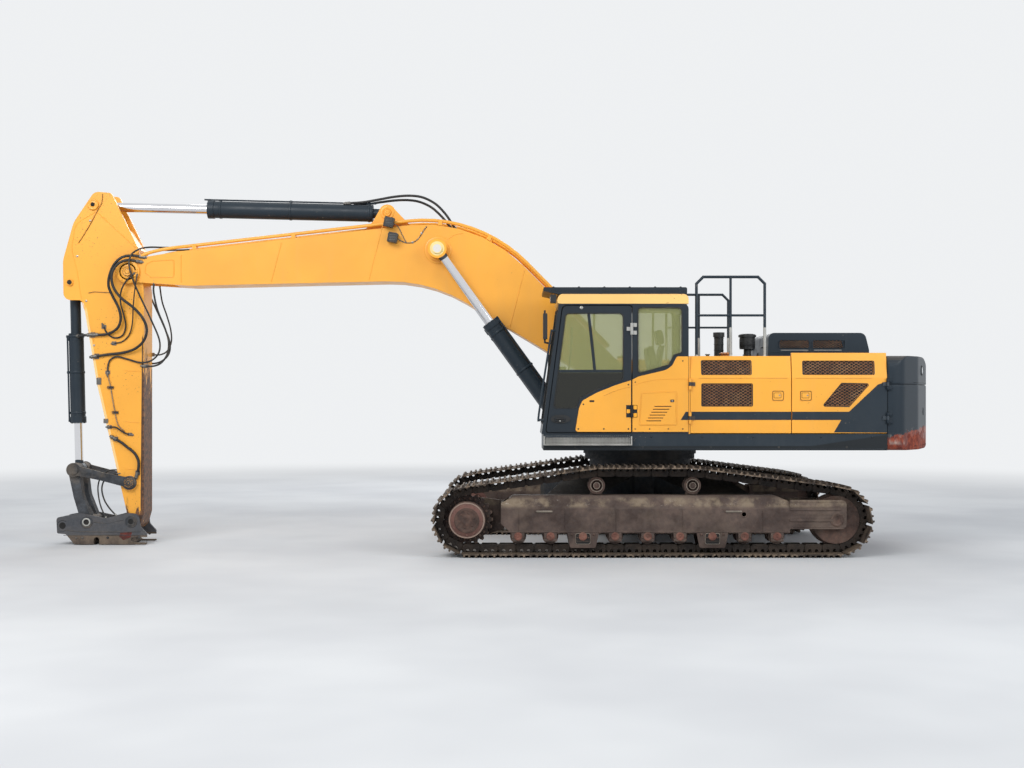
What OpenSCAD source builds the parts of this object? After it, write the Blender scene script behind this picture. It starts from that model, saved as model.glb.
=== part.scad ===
// Crawler excavator with an empty quick coupler, in millimetres.
// Working axes: X forward along the boom, Y to the cab side, Z up, ground at Z = 0.
// Every module works from the slew axis. place() then moves the machine to the middle of its length.

/* [Tracks] */
// Distance between the sprocket and idler centres
tumbler_dist = 4340; // [3900:10:4700]
// Distance between the two track centres
gauge = 2740; // [2500:10:2900]
// Width of a track shoe
shoe_w = 600; // [500:10:700]
// Radius over the grouser tips at the sprocket and the idler
wrap_r = 430; // [420:1:450]
// Number of shoes on one track
shoe_n = 51; // [47:1:53]
// Height of a grouser above its shoe
grouser_h = 28; // [20:1:34]
// Height of a track link with its shoe
link_h = 117; // [105:1:125]
// Width of one row of track links
link_w = 62; // [50:1:70]
// Distance from the track centre to the middle of a row of links
link_y = 86; // [80:1:95]
// Height of the carrier rollers' centres
carrier_z = 832; // [810:1:850]
// Radius of a carrier roller
carrier_r = 100; // [90:1:105]
// Distance between the two carrier rollers
carrier_gap = 1130; // [900:10:1400]
// Number of bottom rollers on one side
roller_n = 9; // [7:1:10]
// Radius of a bottom roller
roller_r = 95; // [85:1:105]
// Width of a track frame
beam_w = 370; // [340:5:400]
// Top of a track frame
beam_top = 716; // [690:1:720]
// Bottom of a track frame
beam_low = 278; // [262:1:295]
// Radius of the final drive's hub
hub_r = 210; // [180:5:230]

/* [Car body] */
// Radius of the slewing ring
ring_r = 700; // [600:10:760]
// Height of the joint in the slewing ring
ring_z = 1160; // [1140:1:1180]
// Height of the underside of the car body
car_low = 505; // [460:5:560]
// Height of the top of the car body's legs
car_top = 900; // [860:5:930]

/* [Upper structure] */
// Underside of the revolving frame
deck_low = 1247; // [1230:1:1260]
// Top of the deck
deck_top = 1440; // [1400:1:1480]
// Width of the upper structure
upper_w = 2980; // [2900:10:3100]
// Front edge of the deck
deck_front = 1270; // [1200:10:1300]
// Back edge of the side doors, where the counterweight begins
body_rear = -2780; // [-2850:10:-2700]
// Rear end of the counterweight on the centre line
tail_x = -3580; // [-3700:10:-3450]
// Top of the counterweight
weight_top = 2364; // [2300:1:2400]
// Height of the joint between the counterweight and its cap
weight_split = 2026; // [1950:1:2100]
// Top of the front side door
door_top = 2359; // [2320:1:2380]
// Top of the rear side door
rear_door_top = 2397; // [2380:1:2420]
// Height of the crease along the side doors
crease_z = 2100; // [2050:1:2150]
// Line between the cab side and the front side door
door_front = -455; // [-480:1:-430]
// Line between the two side doors
door_split = -1651; // [-1700:1:-1600]
// Thickness of a panel or door
panel_t = 40; // [30:1:45]
// Thickness of the frame's boom brackets
bracket_t = 40; // [30:1:45]

/* [Cab] */
// Inner side of the cab
cab_in = 520; // [515:1:560]
// Rear of the cab
cab_rear = -440; // [-450:1:-400]
// Top of the cab door
cab_door_top = 2978; // [2940:1:2990]
// Top of the cab roof
cab_top = 3088; // [3060:1:3110]
// Top of the guard over the roof
guard_top = 3170; // [3140:1:3200]
// Lower front corner of the cab door
cab_front_low = 1261; // [1240:1:1265]
// Upper front corner of the cab door
cab_front_top = 1060; // [1020:1:1090]
// Hinge line of the cab door
cab_hinge_x = 231; // [200:1:260]
// Thickness of the cab's walls
cab_t = 50; // [45:1:60]
// Thickness of the window glass
glass_t = 6; // [5:1:8]

/* [Boom] */
// Boom length between its foot pin and the arm's pin
boom_l = 6500; // [6200:10:6800]
// Angle of the boom's pin line at rest
boom_angle = 13.5; // [8:0.5:18]
// Boom width
boom_w = 480; // [450:2:490]
// Wall of the boom and the arm
box_t = 26; // [16:1:30]
// Foot pin's distance in front of the slew axis
foot_x = 190; // [150:5:230]
// Foot pin's height
foot_z = 1950; // [1900:5:2000]
// Radius of the boom's foot pin
foot_pin_r = 60; // [50:1:65]
// Radius of the pin between boom and arm
nose_pin_r = 55; // [45:1:60]
// Depth of the slot that takes the arm at the boom's end
fork_l = 600; // [560:5:640]

/* [Arm] */
// Arm length between its pivot and its tip pin
arm_l = 3170; // [3000:10:3300]
// Angle of the arm's pin line at rest
arm_angle = -90.7; // [-94:0.1:-88]
// Arm width
arm_w = 400; // [370:2:404]
// Thickness of the arm's ears
ear_t = 40; // [30:1:45]
// Radius of the pin at the arm's tip
tip_pin_r = 48; // [40:1:52]

/* [Linkage] */
// Distance from the arm's tip pin to the rocker's pivot
rocker_back = 491; // [470:1:510]
// Length of the rocker
rocker_l = 727; // [700:1:750]
// Angle of the rocker at rest
rocker_angle = 13.1; // [11:0.1:15]
// Distance from the arm's tip pin to the link's pin on the coupler
coupler_pins = 566; // [550:1:580]
// Width of the coupler between its side plates
coupler_w = 420; // [418:1:430]
// Thickness of the coupler's side plates
coupler_t = 36; // [28:1:42]
// Radius of the coupler's jaws
jaw_r = 35; // [30:1:40]

/* [Cylinders] */
// Outer radius of a boom cylinder's barrel
boom_barrel_r = 105; // [95:1:108]
// Radius of a boom cylinder's rod
boom_rod_r = 58; // [50:1:62]
// Barrel length of a boom cylinder
boom_barrel_l = 1630; // [1560:5:1680]
// Distance of each boom cylinder from the centre plane
boom_cyl_y = 370; // [366:1:374]
// Outer radius of the arm cylinder's barrel
arm_barrel_r = 108; // [98:1:115]
// Radius of the arm cylinder's rod
arm_rod_r = 60; // [52:1:64]
// Barrel length of the arm cylinder
arm_barrel_l = 2310; // [2200:5:2380]
// Outer radius of the bucket cylinder's barrel
tip_barrel_r = 93; // [85:1:98]
// Radius of the bucket cylinder's rod
tip_rod_r = 52; // [45:1:56]
// Barrel length of the bucket cylinder
tip_barrel_l = 1790; // [1700:5:1820]

/* [Fits] */
// Radial clearance at pins, and the gap between seated pieces
pin_gap = 0.3; // [0.2:0.1:0.5]
// Gap round doors and between moving panels
door_gap = 10; // [9:0.5:12]

/* [Hidden] */
$fn = 48;
arc_steps = 5;
orange = "#f0a63c";
slate = "#38424f";
steel = "#8f8a84";
rust = "#6e5d50";

function unit(v) = v / norm(v);
function polar(l, a) = [l * cos(a), l * sin(a)];
function turned(p, a) = [p[0] * cos(a) - p[1] * sin(a), p[0] * sin(a) + p[1] * cos(a)];
function heading(v) = atan2(v[1], v[0]);
function flat(p) = [p[0], p[1]];
function ccw_normal(a, b) = unit([b[1] - a[1], a[0] - b[0]]);

// Points of an arc of radius r that rounds corner b between its neighbours a and c
function corner(a, b, c, r) =
  r <= 0 ? [b] :
  let (u = unit(a - b), v = unit(c - b), half = acos(u * v) / 2,
       mid = b + unit(u + v) * r / sin(half),
       first = heading(b + u * r / tan(half) - mid), last = heading(b + v * r / tan(half) - mid),
       sweep = (last - first + 540) % 360 - 180)
  [for (i = [0 : arc_steps]) mid + polar(r, first + i * sweep / arc_steps)];

// A closed outline from rows of x, z and corner radius
function rounded(rows) =
  let (n = len(rows))
  [for (i = [0 : n - 1])
    each corner(flat(rows[(i + n - 1) % n]), flat(rows[i]), flat(rows[(i + 1) % n]), rows[i][2])];

// The same rows moved inward by t, for an outline that runs counter-clockwise
function inset(rows, t) =
  let (n = len(rows))
  [for (i = [0 : n - 1])
    let (p = flat(rows[i]), before = ccw_normal(flat(rows[(i + n - 1) % n]), p),
         after = ccw_normal(p, flat(rows[(i + 1) % n])),
         q = p - t * (before + after) / (1 + before * after))
    [q[0], q[1], rows[i][2]]];

module place() {
  translate([-origin_x, 0, 0]) children();
}

// Extrudes an outline drawn in X and Z from y0 to y1
module slab(y0, y1) {
  translate([0, y1, 0]) rotate([90, 0, 0]) linear_extrude(y1 - y0) children();
}

// Extrudes an outline drawn in Y and Z from x0 to x1
module bar_x(x0, x1) {
  translate([x0, 0, 0]) rotate([90, 0, 90]) linear_extrude(x1 - x0) children();
}

// A cylinder along Y at a point given in X and Z
module rod_y(p, r, y0, y1) {
  translate([p[0], y1, p[1]]) rotate([90, 0, 0]) cylinder(r = r, h = y1 - y0);
}

module block(x0, x1, y0, y1, z0, z1) {
  translate([x0, y0, z0]) cube([x1 - x0, y1 - y0, z1 - z0]);
}

// A round bar with ball corners through a list of points
module tube(points, r) {
  for (i = [0 : len(points) - 2]) {
    d = points[i + 1] - points[i];
    translate(points[i]) rotate([0, acos(d[2] / norm(d)), atan2(d[1], d[0])])
      cylinder(r = r, h = norm(d), $fn = 16);
  }
  // Knuckles a little larger than the tube, so that they never just touch it
  for (i = [1 : 1 : len(points) - 2]) translate(points[i]) sphere(r = r * 1.06, $fn = 16);
}

module both_sides() {
  children();
  mirror([0, 1, 0]) children();
}

// Moves a piece drawn along a pin line to its place in the machine
module along(o, a) {
  translate([o[0], 0, o[1]]) rotate([0, -a, 0]) children();
}

// Pins in the machine's X and Z
foot = [foot_x, foot_z];
nose = foot + polar(boom_l, boom_angle);
tip = nose + polar(arm_l, arm_angle);
boom_cyl_foot = [960, 1500];
boom_lug = [2743, 1186];
boom_eye = foot + turned(boom_lug, boom_angle);
arm_lug = [3494, 1511];
arm_cyl_foot = foot + turned(arm_lug, boom_angle);
arm_ear = [-863, 445];
arm_eye = nose + turned(arm_ear, arm_angle);
tip_lug = [122, 754];
tip_cyl_foot = nose + turned(tip_lug, arm_angle);
rocker_pin = tip - polar(rocker_back, arm_angle) + [20, 0];
link_pin = rocker_pin + polar(rocker_l, rocker_angle);
coupler_tilt = -0.7;
coupler_pin = tip + polar(coupler_pins, coupler_tilt);
link_l = norm(link_pin - coupler_pin);

// Ends of the machine, which set the middle of its length
hook_reach = 950;
front_x = tip[0] + hook_reach;
origin_x = (front_x + tail_x) / 2;

// Tracks
sprocket_x = tumbler_dist / 2;
idler_x = -tumbler_dist / 2;
track_y = gauge / 2;
shoe_r = wrap_r - grouser_h;
plate_t = 14;
plate_r = shoe_r - plate_t;
rail_r = shoe_r - link_h;
carrier_mid = 78;
carrier_xs = [carrier_mid + carrier_gap / 2, carrier_mid - carrier_gap / 2];
roller_z = wrap_r - rail_r + roller_r + pin_gap;
roller_first = 1568;
roller_last = -1470;
roller_pitch = (roller_first - roller_last) / (roller_n - 1);
beam_half = beam_w / 2;
beam_in = beam_half - 35;

// Rows of x, z and radius of the corners that the loop's line at distance r from the tumblers runs round
function loop_stops(r) =
  let (lift = r - rail_r + carrier_r + pin_gap)
  [[idler_x, wrap_r, r], [sprocket_x, wrap_r, r],
   [carrier_xs[0], carrier_z, lift], [carrier_xs[1], carrier_z, lift]];

// Angle of the outward side of the belt line between two wheels of a counter-clockwise loop
function belt_angle(a, b) =
  let (d = flat(b) - flat(a)) heading(d) - 90 + asin((a[2] - b[2]) / norm(d)) ;

// Straight and round stretches of the loop at distance r: start, length, heading, radius
function loop_runs(r) =
  let (w = loop_stops(r), n = len(w))
  [for (i = [0 : n - 1])
    let (a = w[i], b = w[(i + 1) % n], c = w[(i + 2) % n],
         now = belt_angle(a, b), next = belt_angle(b, c),
         p = flat(a) + polar(a[2], now), q = flat(b) + polar(b[2], now),
         turn = (next - now + 720) % 360)
    each [[p, norm(q - p), now + 90, 0], [q, b[2] * turn * PI / 180, now + 90, b[2]]]];

function run_total(runs, i = 0) = i == len(runs) ? 0 : runs[i][1] + run_total(runs, i + 1);

// Point and heading at distance s along the runs
function walk(runs, s, i = 0) =
  s > runs[i][1] && i < len(runs) - 1 ? walk(runs, s - runs[i][1], i + 1) :
  runs[i][3] == 0 ? [runs[i][0] + polar(s, runs[i][2]), runs[i][2]] :
  let (turn = s / runs[i][3] * 180 / PI, out = runs[i][2] - 90, hub = runs[i][0] - polar(runs[i][3], out))
  [hub + polar(runs[i][3], out + turn), runs[i][2] + turn];

// One shoe's profile: share of the pitch along it and height above the shoe
valley_h = 3;
joint_h = -5;
shoe_profile = [[0.03, joint_h], [0.05, 1], [0.12, 1], [0.2, valley_h], [0.42, 1], [0.52, 1], [0.66,
  valley_h],
  [0.84, 1], [0.94, 1]];

// Outline over the grousers, all round one track
function grouser_line() =
  let (runs = loop_runs(shoe_r), total = run_total(runs))
  [for (i = [0 : shoe_n - 1], row = shoe_profile)
    let (at = walk(runs, (i + row[0]) * total / shoe_n),
         high = row[1] == 1 ? grouser_h : row[1])
    at[0] + polar(high, at[1] - 90)];

// A smooth closed line at distance r, with steps points on each of its four bends
function smooth_line(r, steps) =
  let (runs = loop_runs(r))
  [for (i = [0 : 2 : len(runs) - 1])
    each [for (k = [0 : steps[i / 2]]) walk([runs[i + 1]], k / steps[i / 2] * runs[i + 1][1])[0]]];

bend_steps = [12, 1, 1, 12];

module track(side) {
  y = side * track_y;
  color(rust) {
    slab(y - shoe_w / 2, y + shoe_w / 2) difference() {
      polygon(grouser_line());
      polygon(smooth_line(plate_r, bend_steps));
    }
    for (s = [-1, 1]) slab(y + s * link_y - link_w / 2, y + s * link_y + link_w / 2) difference() {
      polygon(smooth_line(plate_r + 2, bend_steps));
      polygon(smooth_line(rail_r, bend_steps));
    }
  }
}

// Track frame: a box open below, with sloping shoulders and a yoke for the idler
shoulder_z = 560;
beam_front = 1770;
beam_rear = -1620;
yoke_rear = -2284;
yoke_low = 325;
yoke_top = 667;
yoke_t = 30;
guard_rollers = [2, 6];
guard_t = 28;
carrier_axle_r = 44;

module beam_section(grow) {
  polygon([[-beam_half + grow, beam_low - 1], [-beam_half + grow, shoulder_z],
    [-beam_half + 70, beam_top - grow], [beam_half - 70, beam_top - grow],
    [beam_half - grow, shoulder_z], [beam_half - grow, beam_low - 1]]);
}

module beam(side) {
  color(rust) translate([0, side * track_y, 0]) {
    difference() {
      intersection() {
        bar_x(beam_rear, beam_front) beam_section(0);
        slab(-beam_half, beam_half) polygon([[beam_rear, beam_low], [beam_front - 120, beam_low],
          [beam_front, beam_low + 110], [beam_front, beam_top - 90], [beam_front - 150, beam_top],
          [beam_rear + 160, beam_top], [beam_rear, beam_top - 70]]);
      }
      bar_x(beam_rear + 30, beam_front - 30) beam_section(35);
      rod_y([-1080, 500], 25, -beam_half - 1, beam_half + 1);
    }
    // Raised pads on the outer shoulder
    for (x = [-960, 1260]) block(x - 110, x + 110, side * beam_half - (side < 0 ? 8 : 0),
      side * beam_half + (side < 0 ? 0 : 8), 520, 550);
    // Carrier roller posts
    for (x = carrier_xs) {
      block(x - 70, x + 70, -25, 25, beam_top - 5, carrier_z - carrier_axle_r - pin_gap);
    }
    // Idler yoke
    for (s = [-1, 1]) difference() {
      union() {
        slab(s * (beam_half - yoke_t / 2) - yoke_t / 2, s * (beam_half - yoke_t / 2) + yoke_t / 2)
          polygon(rounded([[yoke_rear, yoke_low, 60], [beam_rear, yoke_low, 0], [beam_rear, yoke_top, 0],
            [yoke_rear, yoke_top, 60]]));
        for (z = [430, 560]) block(yoke_rear + 60, beam_rear, s * beam_half - (s < 0 ? 10 : 0),
          s * beam_half + (s < 0 ? 0 : 10), z - 14, z + 14);
      }
      rod_y([idler_x, wrap_r], 45, s * beam_half - 45, s * beam_half + 45);
    }
    // Drive bracket towards the machine's middle
    difference() {
      slab(-side * 150 - 20, -side * 150 + 20) polygon(rounded([[beam_front - 40, 300, 0],
        [sprocket_x, wrap_r - 265, 200], [sprocket_x + 240, wrap_r - 200, 180], [sprocket_x + 240,
          wrap_r + 200, 180],
        [sprocket_x, wrap_r + 265, 200], [beam_front - 40, 640, 0]]));
      rod_y([sprocket_x, wrap_r], hub_r - 10, -side * 150 - 21, -side * 150 + 21);
    }
    // Track guards at the third and seventh rollers
    for (i = guard_rollers) for (s = [-1, 1]) {
      x = roller_first - i * roller_pitch;
      y = s * (beam_half - guard_t / 2);
      slab(y - guard_t / 2, y + guard_t / 2) polygon(rounded([[x - 185, beam_low, 0],
        [x - 150, 105, 25], [x + 150, 105, 25], [x + 185, beam_low, 0]]));
    }
  }
}

// Final drive: hub with its cover, toothed ring and inner motor
tooth_n = 21;
tooth_r = rail_r + 22;

function tooth_ring() = [for (i = [0 : tooth_n - 1], k = [[0.1, -34], [0.32, 0], [0.62, 0], [0.84, -34]])
  polar(tooth_r + k[1], (i + k[0]) * 360 / tooth_n)];

module drive(side) {
  color(rust) translate([sprocket_x, side * track_y, wrap_r]) rotate([-90 * side, 0, 0]) {
    translate([0, 0, -22]) linear_extrude(44) polygon(tooth_ring());
    cylinder(r = hub_r + 10, h = 120);
    translate([0, 0, 119]) cylinder(r = hub_r, h = 90);
    translate([0, 0, 208]) cylinder(r1 = hub_r - 20, r2 = hub_r - 60, h = 26);
    for (i = [0 : 11]) rotate(i * 30) translate([hub_r - 42, 0, 208]) cylinder(r = 13, h = 16, $fn = 16);
    translate([0, 0, -130 + pin_gap]) cylinder(r = hub_r + 15, h = 130);
    translate([0, 0, -280]) cylinder(r = 130, h = 160);
  }
}

module idler(side) {
  color(rust) {
    translate([0, side * track_y, 0]) {
      // The tread clears the flat stretches of the rails' bend
      for (s = [-1, 1]) rod_y([idler_x, wrap_r], rail_r * cos(90 / bend_steps[0]) - pin_gap,
        s * link_y - 30, s * link_y + 30);
      rod_y([idler_x, wrap_r], rail_r + 20, -45, 45);
      rod_y([idler_x, wrap_r], 90, -beam_half + yoke_t + pin_gap, beam_half - yoke_t - pin_gap);
      rod_y([idler_x, wrap_r], 45 - pin_gap, -beam_half + 4, beam_half - 4);
    }
  }
}

module roller(x, z, r, half) {
  for (s = [-1, 1]) rod_y([x, z], r, s * link_y - link_w / 2, s * link_y + link_w / 2);
  rod_y([x, z], r - 28, -half, half);
}

module rollers(side) {
  color(rust) translate([0, side * track_y, 0]) {
    for (i = [0 : roller_n - 1]) {
      x = roller_first - i * roller_pitch;
      guarded = i == guard_rollers[0] || i == guard_rollers[1];
      axle_end = guarded ? beam_half - guard_t - pin_gap : beam_half - 8;
      roller(x, roller_z, roller_r, beam_in - 12);
      // Axle ends, in saddles bolted under the frame
      for (s = [-1, 1]) {
        saddle_y = s * (beam_half - 18);
        if (!guarded)
          block(x - 75, x + 75, saddle_y - 17, saddle_y + 17, roller_z - 60, beam_low - pin_gap);
        ends = [s * (beam_in - 20), s * axle_end];
        rod_y([x, roller_z], 36, min(ends), max(ends));
      }
    }
    for (x = carrier_xs) {
      for (s = [-1, 1]) rod_y([x, carrier_z], carrier_r, s * link_y - 20, s * link_y + 20);
      rod_y([x, carrier_z], carrier_axle_r, -link_y, link_y);
    }
  }
}

// Car body: a ring tower on four spread legs that reach the track frames
module car_body() {
  reach = track_y - beam_half;
  color(rust) {
    difference() {
      union() {
        translate([0, 0, car_top - 1]) cylinder(r = ring_r - 60, h = ring_z - 55 - car_top);
        translate([0, 0, ring_z - 60]) cylinder(r = ring_r, h = 60, $fn = 64);
        intersection() {
          translate([0, 0, car_low]) linear_extrude(car_top - car_low) union() {
            square([1300, 1300], center = true);
            for (sx = [-1, 1], sy = [-1, 1]) polygon([[sx * 650, sy * 120], [sx * 1250, sy * (reach - 1)],
              [sx * 1250, sy * reach], [sx * 620, sy * reach], [sx * 120, sy * 650]]);
          }
          bar_x(-1300, 1300) polygon([[-reach, car_low - 1], [reach, car_low - 1], [reach, beam_top - 30],
            [650, car_top + 1], [-650, car_top + 1], [-reach, beam_top - 30]]);
        }
      }
      translate([0, 0, car_low + 60]) cylinder(r = 330, h = ring_z);
    }
  }
}

// Revolving frame: bottom plate, two long beams with the boom's brackets, and the ring's upper half
beam_y = boom_w / 2 + 10;
lug_y0 = 445;
lug_t = 30;
frame_rear = body_rear + 10;
beam_top_z = deck_top + 150;
boss_r = 130;

module frame_side() {
  slab(beam_y, beam_y + bracket_t) union() {
    polygon([[frame_rear, deck_low + 20], boom_cyl_foot + [90, deck_low + 20 - boom_cyl_foot[1]],
      boom_cyl_foot + [boss_r - 2, -20], boom_cyl_foot + [-100, 75], foot + [160, 90], foot + [-150, 110],
      [foot[0] - 480, beam_top_z], [frame_rear, beam_top_z]]);
    translate(foot) circle(r = 190);
    translate(boom_cyl_foot) circle(r = boss_r);
  }
}

module revolving_frame() {
  color(slate) {
    translate([0, 0, ring_z + pin_gap]) cylinder(r = ring_r + 20, h = deck_low - ring_z - 3 * pin_gap,
      $fn = 64);
    intersection() {
      translate([0, 0, ring_z + 20]) cylinder(r = ring_r, h = deck_low - ring_z, $fn = 64);
      block(-ring_r, ring_r, -lug_y0, lug_y0, ring_z, deck_low + 5);
    }
    block(frame_rear, boom_cyl_foot[0] + 90, -lug_y0 - lug_t, lug_y0 + lug_t, deck_low, deck_low + 40);
    both_sides() {
      difference() {
        frame_side();
        rod_y(foot, foot_pin_r + 15, beam_y + 25, beam_y + 60);
      }
      slab(lug_y0, lug_y0 + lug_t) union() {
        translate(boom_cyl_foot) circle(r = boss_r - 5);
        polygon([[boom_cyl_foot[0] - 330, deck_low + 20], [boom_cyl_foot[0] + 90, deck_low + 20],
          boom_cyl_foot + [boss_r - 8, -20], boom_cyl_foot + [-100, 70]]);
      }
      rod_y(boom_cyl_foot, 50, beam_y + bracket_t - 2, lug_y0 + 2);
      rod_y(boom_cyl_foot, 56, lug_y0 + lug_t - 1, lug_y0 + lug_t + 12);
    }
    rod_y(foot, foot_pin_r, -beam_y - 27, beam_y + 27);
    // Cross walls behind the boom foot and in front of the engine
    for (x = [foot[0] - 520, door_front]) block(x, x + 30, -beam_y - 2, beam_y + 2, deck_low + 20,
      beam_top_z);
  }
}

// Side decks: a top plate on a deep outer skirt with cross ribs
module deck_half(x0, x1) {
  y0 = lug_y0 + lug_t + 2 * pin_gap;
  y1 = upper_w / 2;
  rib_n = 5;
  difference() {
    block(x0, x1, y0, y1, deck_low, deck_top);
    for (i = [0 : rib_n - 1]) {
      step = (x1 - x0 - 40) / rib_n;
      block(x0 + 40 + i * step, x0 + i * step + step, y0 + 30, y1 - 45, deck_low - 1, deck_top - 14);
    }
  }
}

module deck() {
  color(slate) {
    deck_half(body_rear, deck_front);
    mirror([0, 1, 0]) deck_half(body_rear, deck_front - 60);
  }
}

step_front = deck_front;
step_rear = 230;

module steps() {
  y = upper_w / 2 + pin_gap;
  color("silver") {
    // Checker plate step along the cab side, on a bracket
    difference() {
      block(step_rear, step_front, y, y + 62, 1308, 1416);
      block(step_rear + 12, step_front - 12, y + 8, y + 63, 1320, 1404);
    }
    // Two rungs below the right front corner
    for (z = [1180, 1290]) block(deck_front - 380, deck_front - 80, -y - 60, -y - 20, z, z + 22);
    for (x = [deck_front - 380, deck_front - 102]) block(x, x + 22, -y - 60, -y, 1180, 1380);
  }
}

// Engine as one plain block at its place behind the boom
engine_l = 1260;
engine_w = 1120;
engine_top = 2220;

module engine() {
  color(steel) block(body_rear + 220, body_rear + 220 + engine_l, -engine_w / 2, engine_w / 2,
    beam_top_z + pin_gap, engine_top);
}

// Counterweight: a cast block with rounded edges, a joint line and lifting eyes
function tail_plan(grow) = inset([[body_rear, -upper_w / 2, 0], [body_rear, upper_w / 2, 0],
  [body_rear - 170, upper_w / 2, 200], [body_rear - 470, 1130, 300], [tail_x, 380, 500], [tail_x, -380,
    500],
  [body_rear - 470, -1130, 300], [body_rear - 170, -upper_w / 2, 200]], grow);

module tail_layer(grow, z0, z1) {
  translate([0, 0, z0]) linear_extrude(z1 - z0) polygon(rounded(tail_plan(grow)));
}

module counterweight() {
  groove = 12;
  half = upper_w / 2;
  eye_x = body_rear - 330;
  color(slate) difference() {
    intersection() {
      union() {
        tail_layer(0, deck_low - 1, weight_split - groove / 2);
        tail_layer(groove, weight_split - groove, weight_split + groove);
        tail_layer(0, weight_split + groove / 2, weight_top);
      }
      slab(-half, half) polygon(rounded([[tail_x, deck_low - 1, 110], [body_rear - 2 * pin_gap,
        deck_low - 1, 0],
        [body_rear - 2 * pin_gap, weight_top, 0], [tail_x, weight_top, 190]]));
      bar_x(tail_x - 1, body_rear + 1) polygon(rounded([[-half, deck_low - 1, 90], [half, deck_low - 1, 90],
        [half, weight_top, 130], [-half, weight_top, 130]]));
    }
    // Hollow in front, where the engine bay reaches back
    block(body_rear - 170, body_rear + 10, -1150, 1150, deck_low + 150, weight_top + 1);
    // Lifting eyes in two pockets of the top
    for (s = [-1, 1]) {
      block(eye_x - 90, eye_x + 90, s * 700 - 60, s * 700 - 22, weight_top - 120, weight_top + 1);
      block(eye_x - 90, eye_x + 90, s * 700 + 22, s * 700 + 60, weight_top - 120, weight_top + 1);
      rod_y([eye_x, weight_top - 60], 32, s * 700 - 23, s * 700 + 23);
    }
  }
  color(slate) for (z = hinge_zs) hinge_fixed(body_rear, hinge_y, z, -55);
}

// Body side profile in Y and Z: upright to the crease, then leaning in
lean = 45;

module side_profile(z0, z1) {
  half = upper_w / 2;
  polygon([[half - panel_t, z0], [half, z0], [half, crease_z], [half - lean, z1],
    [half - lean - panel_t, z1], [half - panel_t, crease_z]]);
}

// A vertical door hinge: a pin in two fixed knuckles with the door's knuckle between them
knuckle_r = 17;
knuckle_h = 45;

module hinge_fixed(x, y, z, leaf) {
  translate([x, y, z]) cylinder(r = 8, h = 3 * knuckle_h, $fn = 24);
  for (k = [0, 2]) {
    translate([x, y, z + k * knuckle_h]) cylinder(r = knuckle_r, h = knuckle_h, $fn = 24);
    block(min(x, x + leaf), max(x, x + leaf), y - knuckle_r - 1, y - knuckle_r + 12,
      z + k * knuckle_h, z + (k + 1) * knuckle_h);
  }
}

module hinge_moving(x, y, z, leaf) {
  difference() {
    union() {
      translate([x, y, z + knuckle_h + pin_gap]) cylinder(r = knuckle_r, h = knuckle_h - 2 * pin_gap,
        $fn = 24);
      block(min(x, x + leaf), max(x, x + leaf), y - knuckle_r - 1, y - knuckle_r + 12,
        z + knuckle_h + pin_gap, z + 2 * knuckle_h - pin_gap);
    }
    translate([x, y, z]) cylinder(r = 8 + pin_gap, h = 3 * knuckle_h, $fn = 24);
  }
}

hinge_y = upper_w / 2 + knuckle_r;
hinge_zs = [1560, 1960];

// Grilles in the side doors: outlines with corner radii
function grille_box(x0, x1, z0, z1) = [[x0, z0, 18], [x1, z0, 18], [x1, z1, 18], [x0, z1, 18]];
front_grilles = [grille_box(-1173, -600, 2138, 2307), grille_box(-1185, -600, 1768, 2031)];
rear_grilles = [grille_box(-2621, -1793, 2138, 2302),
  [[-2327, 1768, 18], [-2017, 1768, 18], [-2242, 2031, 18], [-2571, 2031, 18]]];
grille_depth = 12;
slot_w = 9;
slot_step = 24;

// A shallow pocket for each grille, and the slots through its floor
module grille_cut(grilles, z0, z1) {
  half = upper_w / 2;
  inner = half - lean - panel_t - 20;
  intersection() {
    slab(inner, half + panel_t) for (g = grilles) polygon(rounded(g));
    translate([0, panel_t - grille_depth, 0]) bar_x(body_rear, 0) side_profile(z0, z1);
  }
  for (g = grilles) {
    x0 = min([for (p = g) p[0]]);
    x1 = max([for (p = g) p[0]]);
    slab(inner, half - grille_depth + 1) intersection() {
      polygon(rounded(inset(g, 14)));
      for (x = [x0 + slot_step : slot_step : x1 - slot_step]) translate([x, 0]) square([slot_w, 4000]);
    }
  }
}

module side_door(x0, x1, top, grilles, hinge_x, leaf) {
  gap = door_gap / 2;
  difference() {
    bar_x(x0 + gap, x1 - gap) side_profile(deck_top + door_gap, top);
    grille_cut(grilles, deck_top + door_gap, top);
  }
  for (z = hinge_zs) hinge_moving(hinge_x, hinge_y, z, leaf);
}

module side_door_front() {
  color(orange) side_door(door_split, door_front, door_top, front_grilles, door_front, -60);
}

module side_door_rear() {
  color(orange) side_door(body_rear, door_split, rear_door_top, rear_grilles, body_rear, 60);
}

module pump_door() {
  color(orange) mirror([0, 1, 0]) side_door(door_split, door_front, door_top, front_grilles, door_front,
    -60);
}

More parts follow.
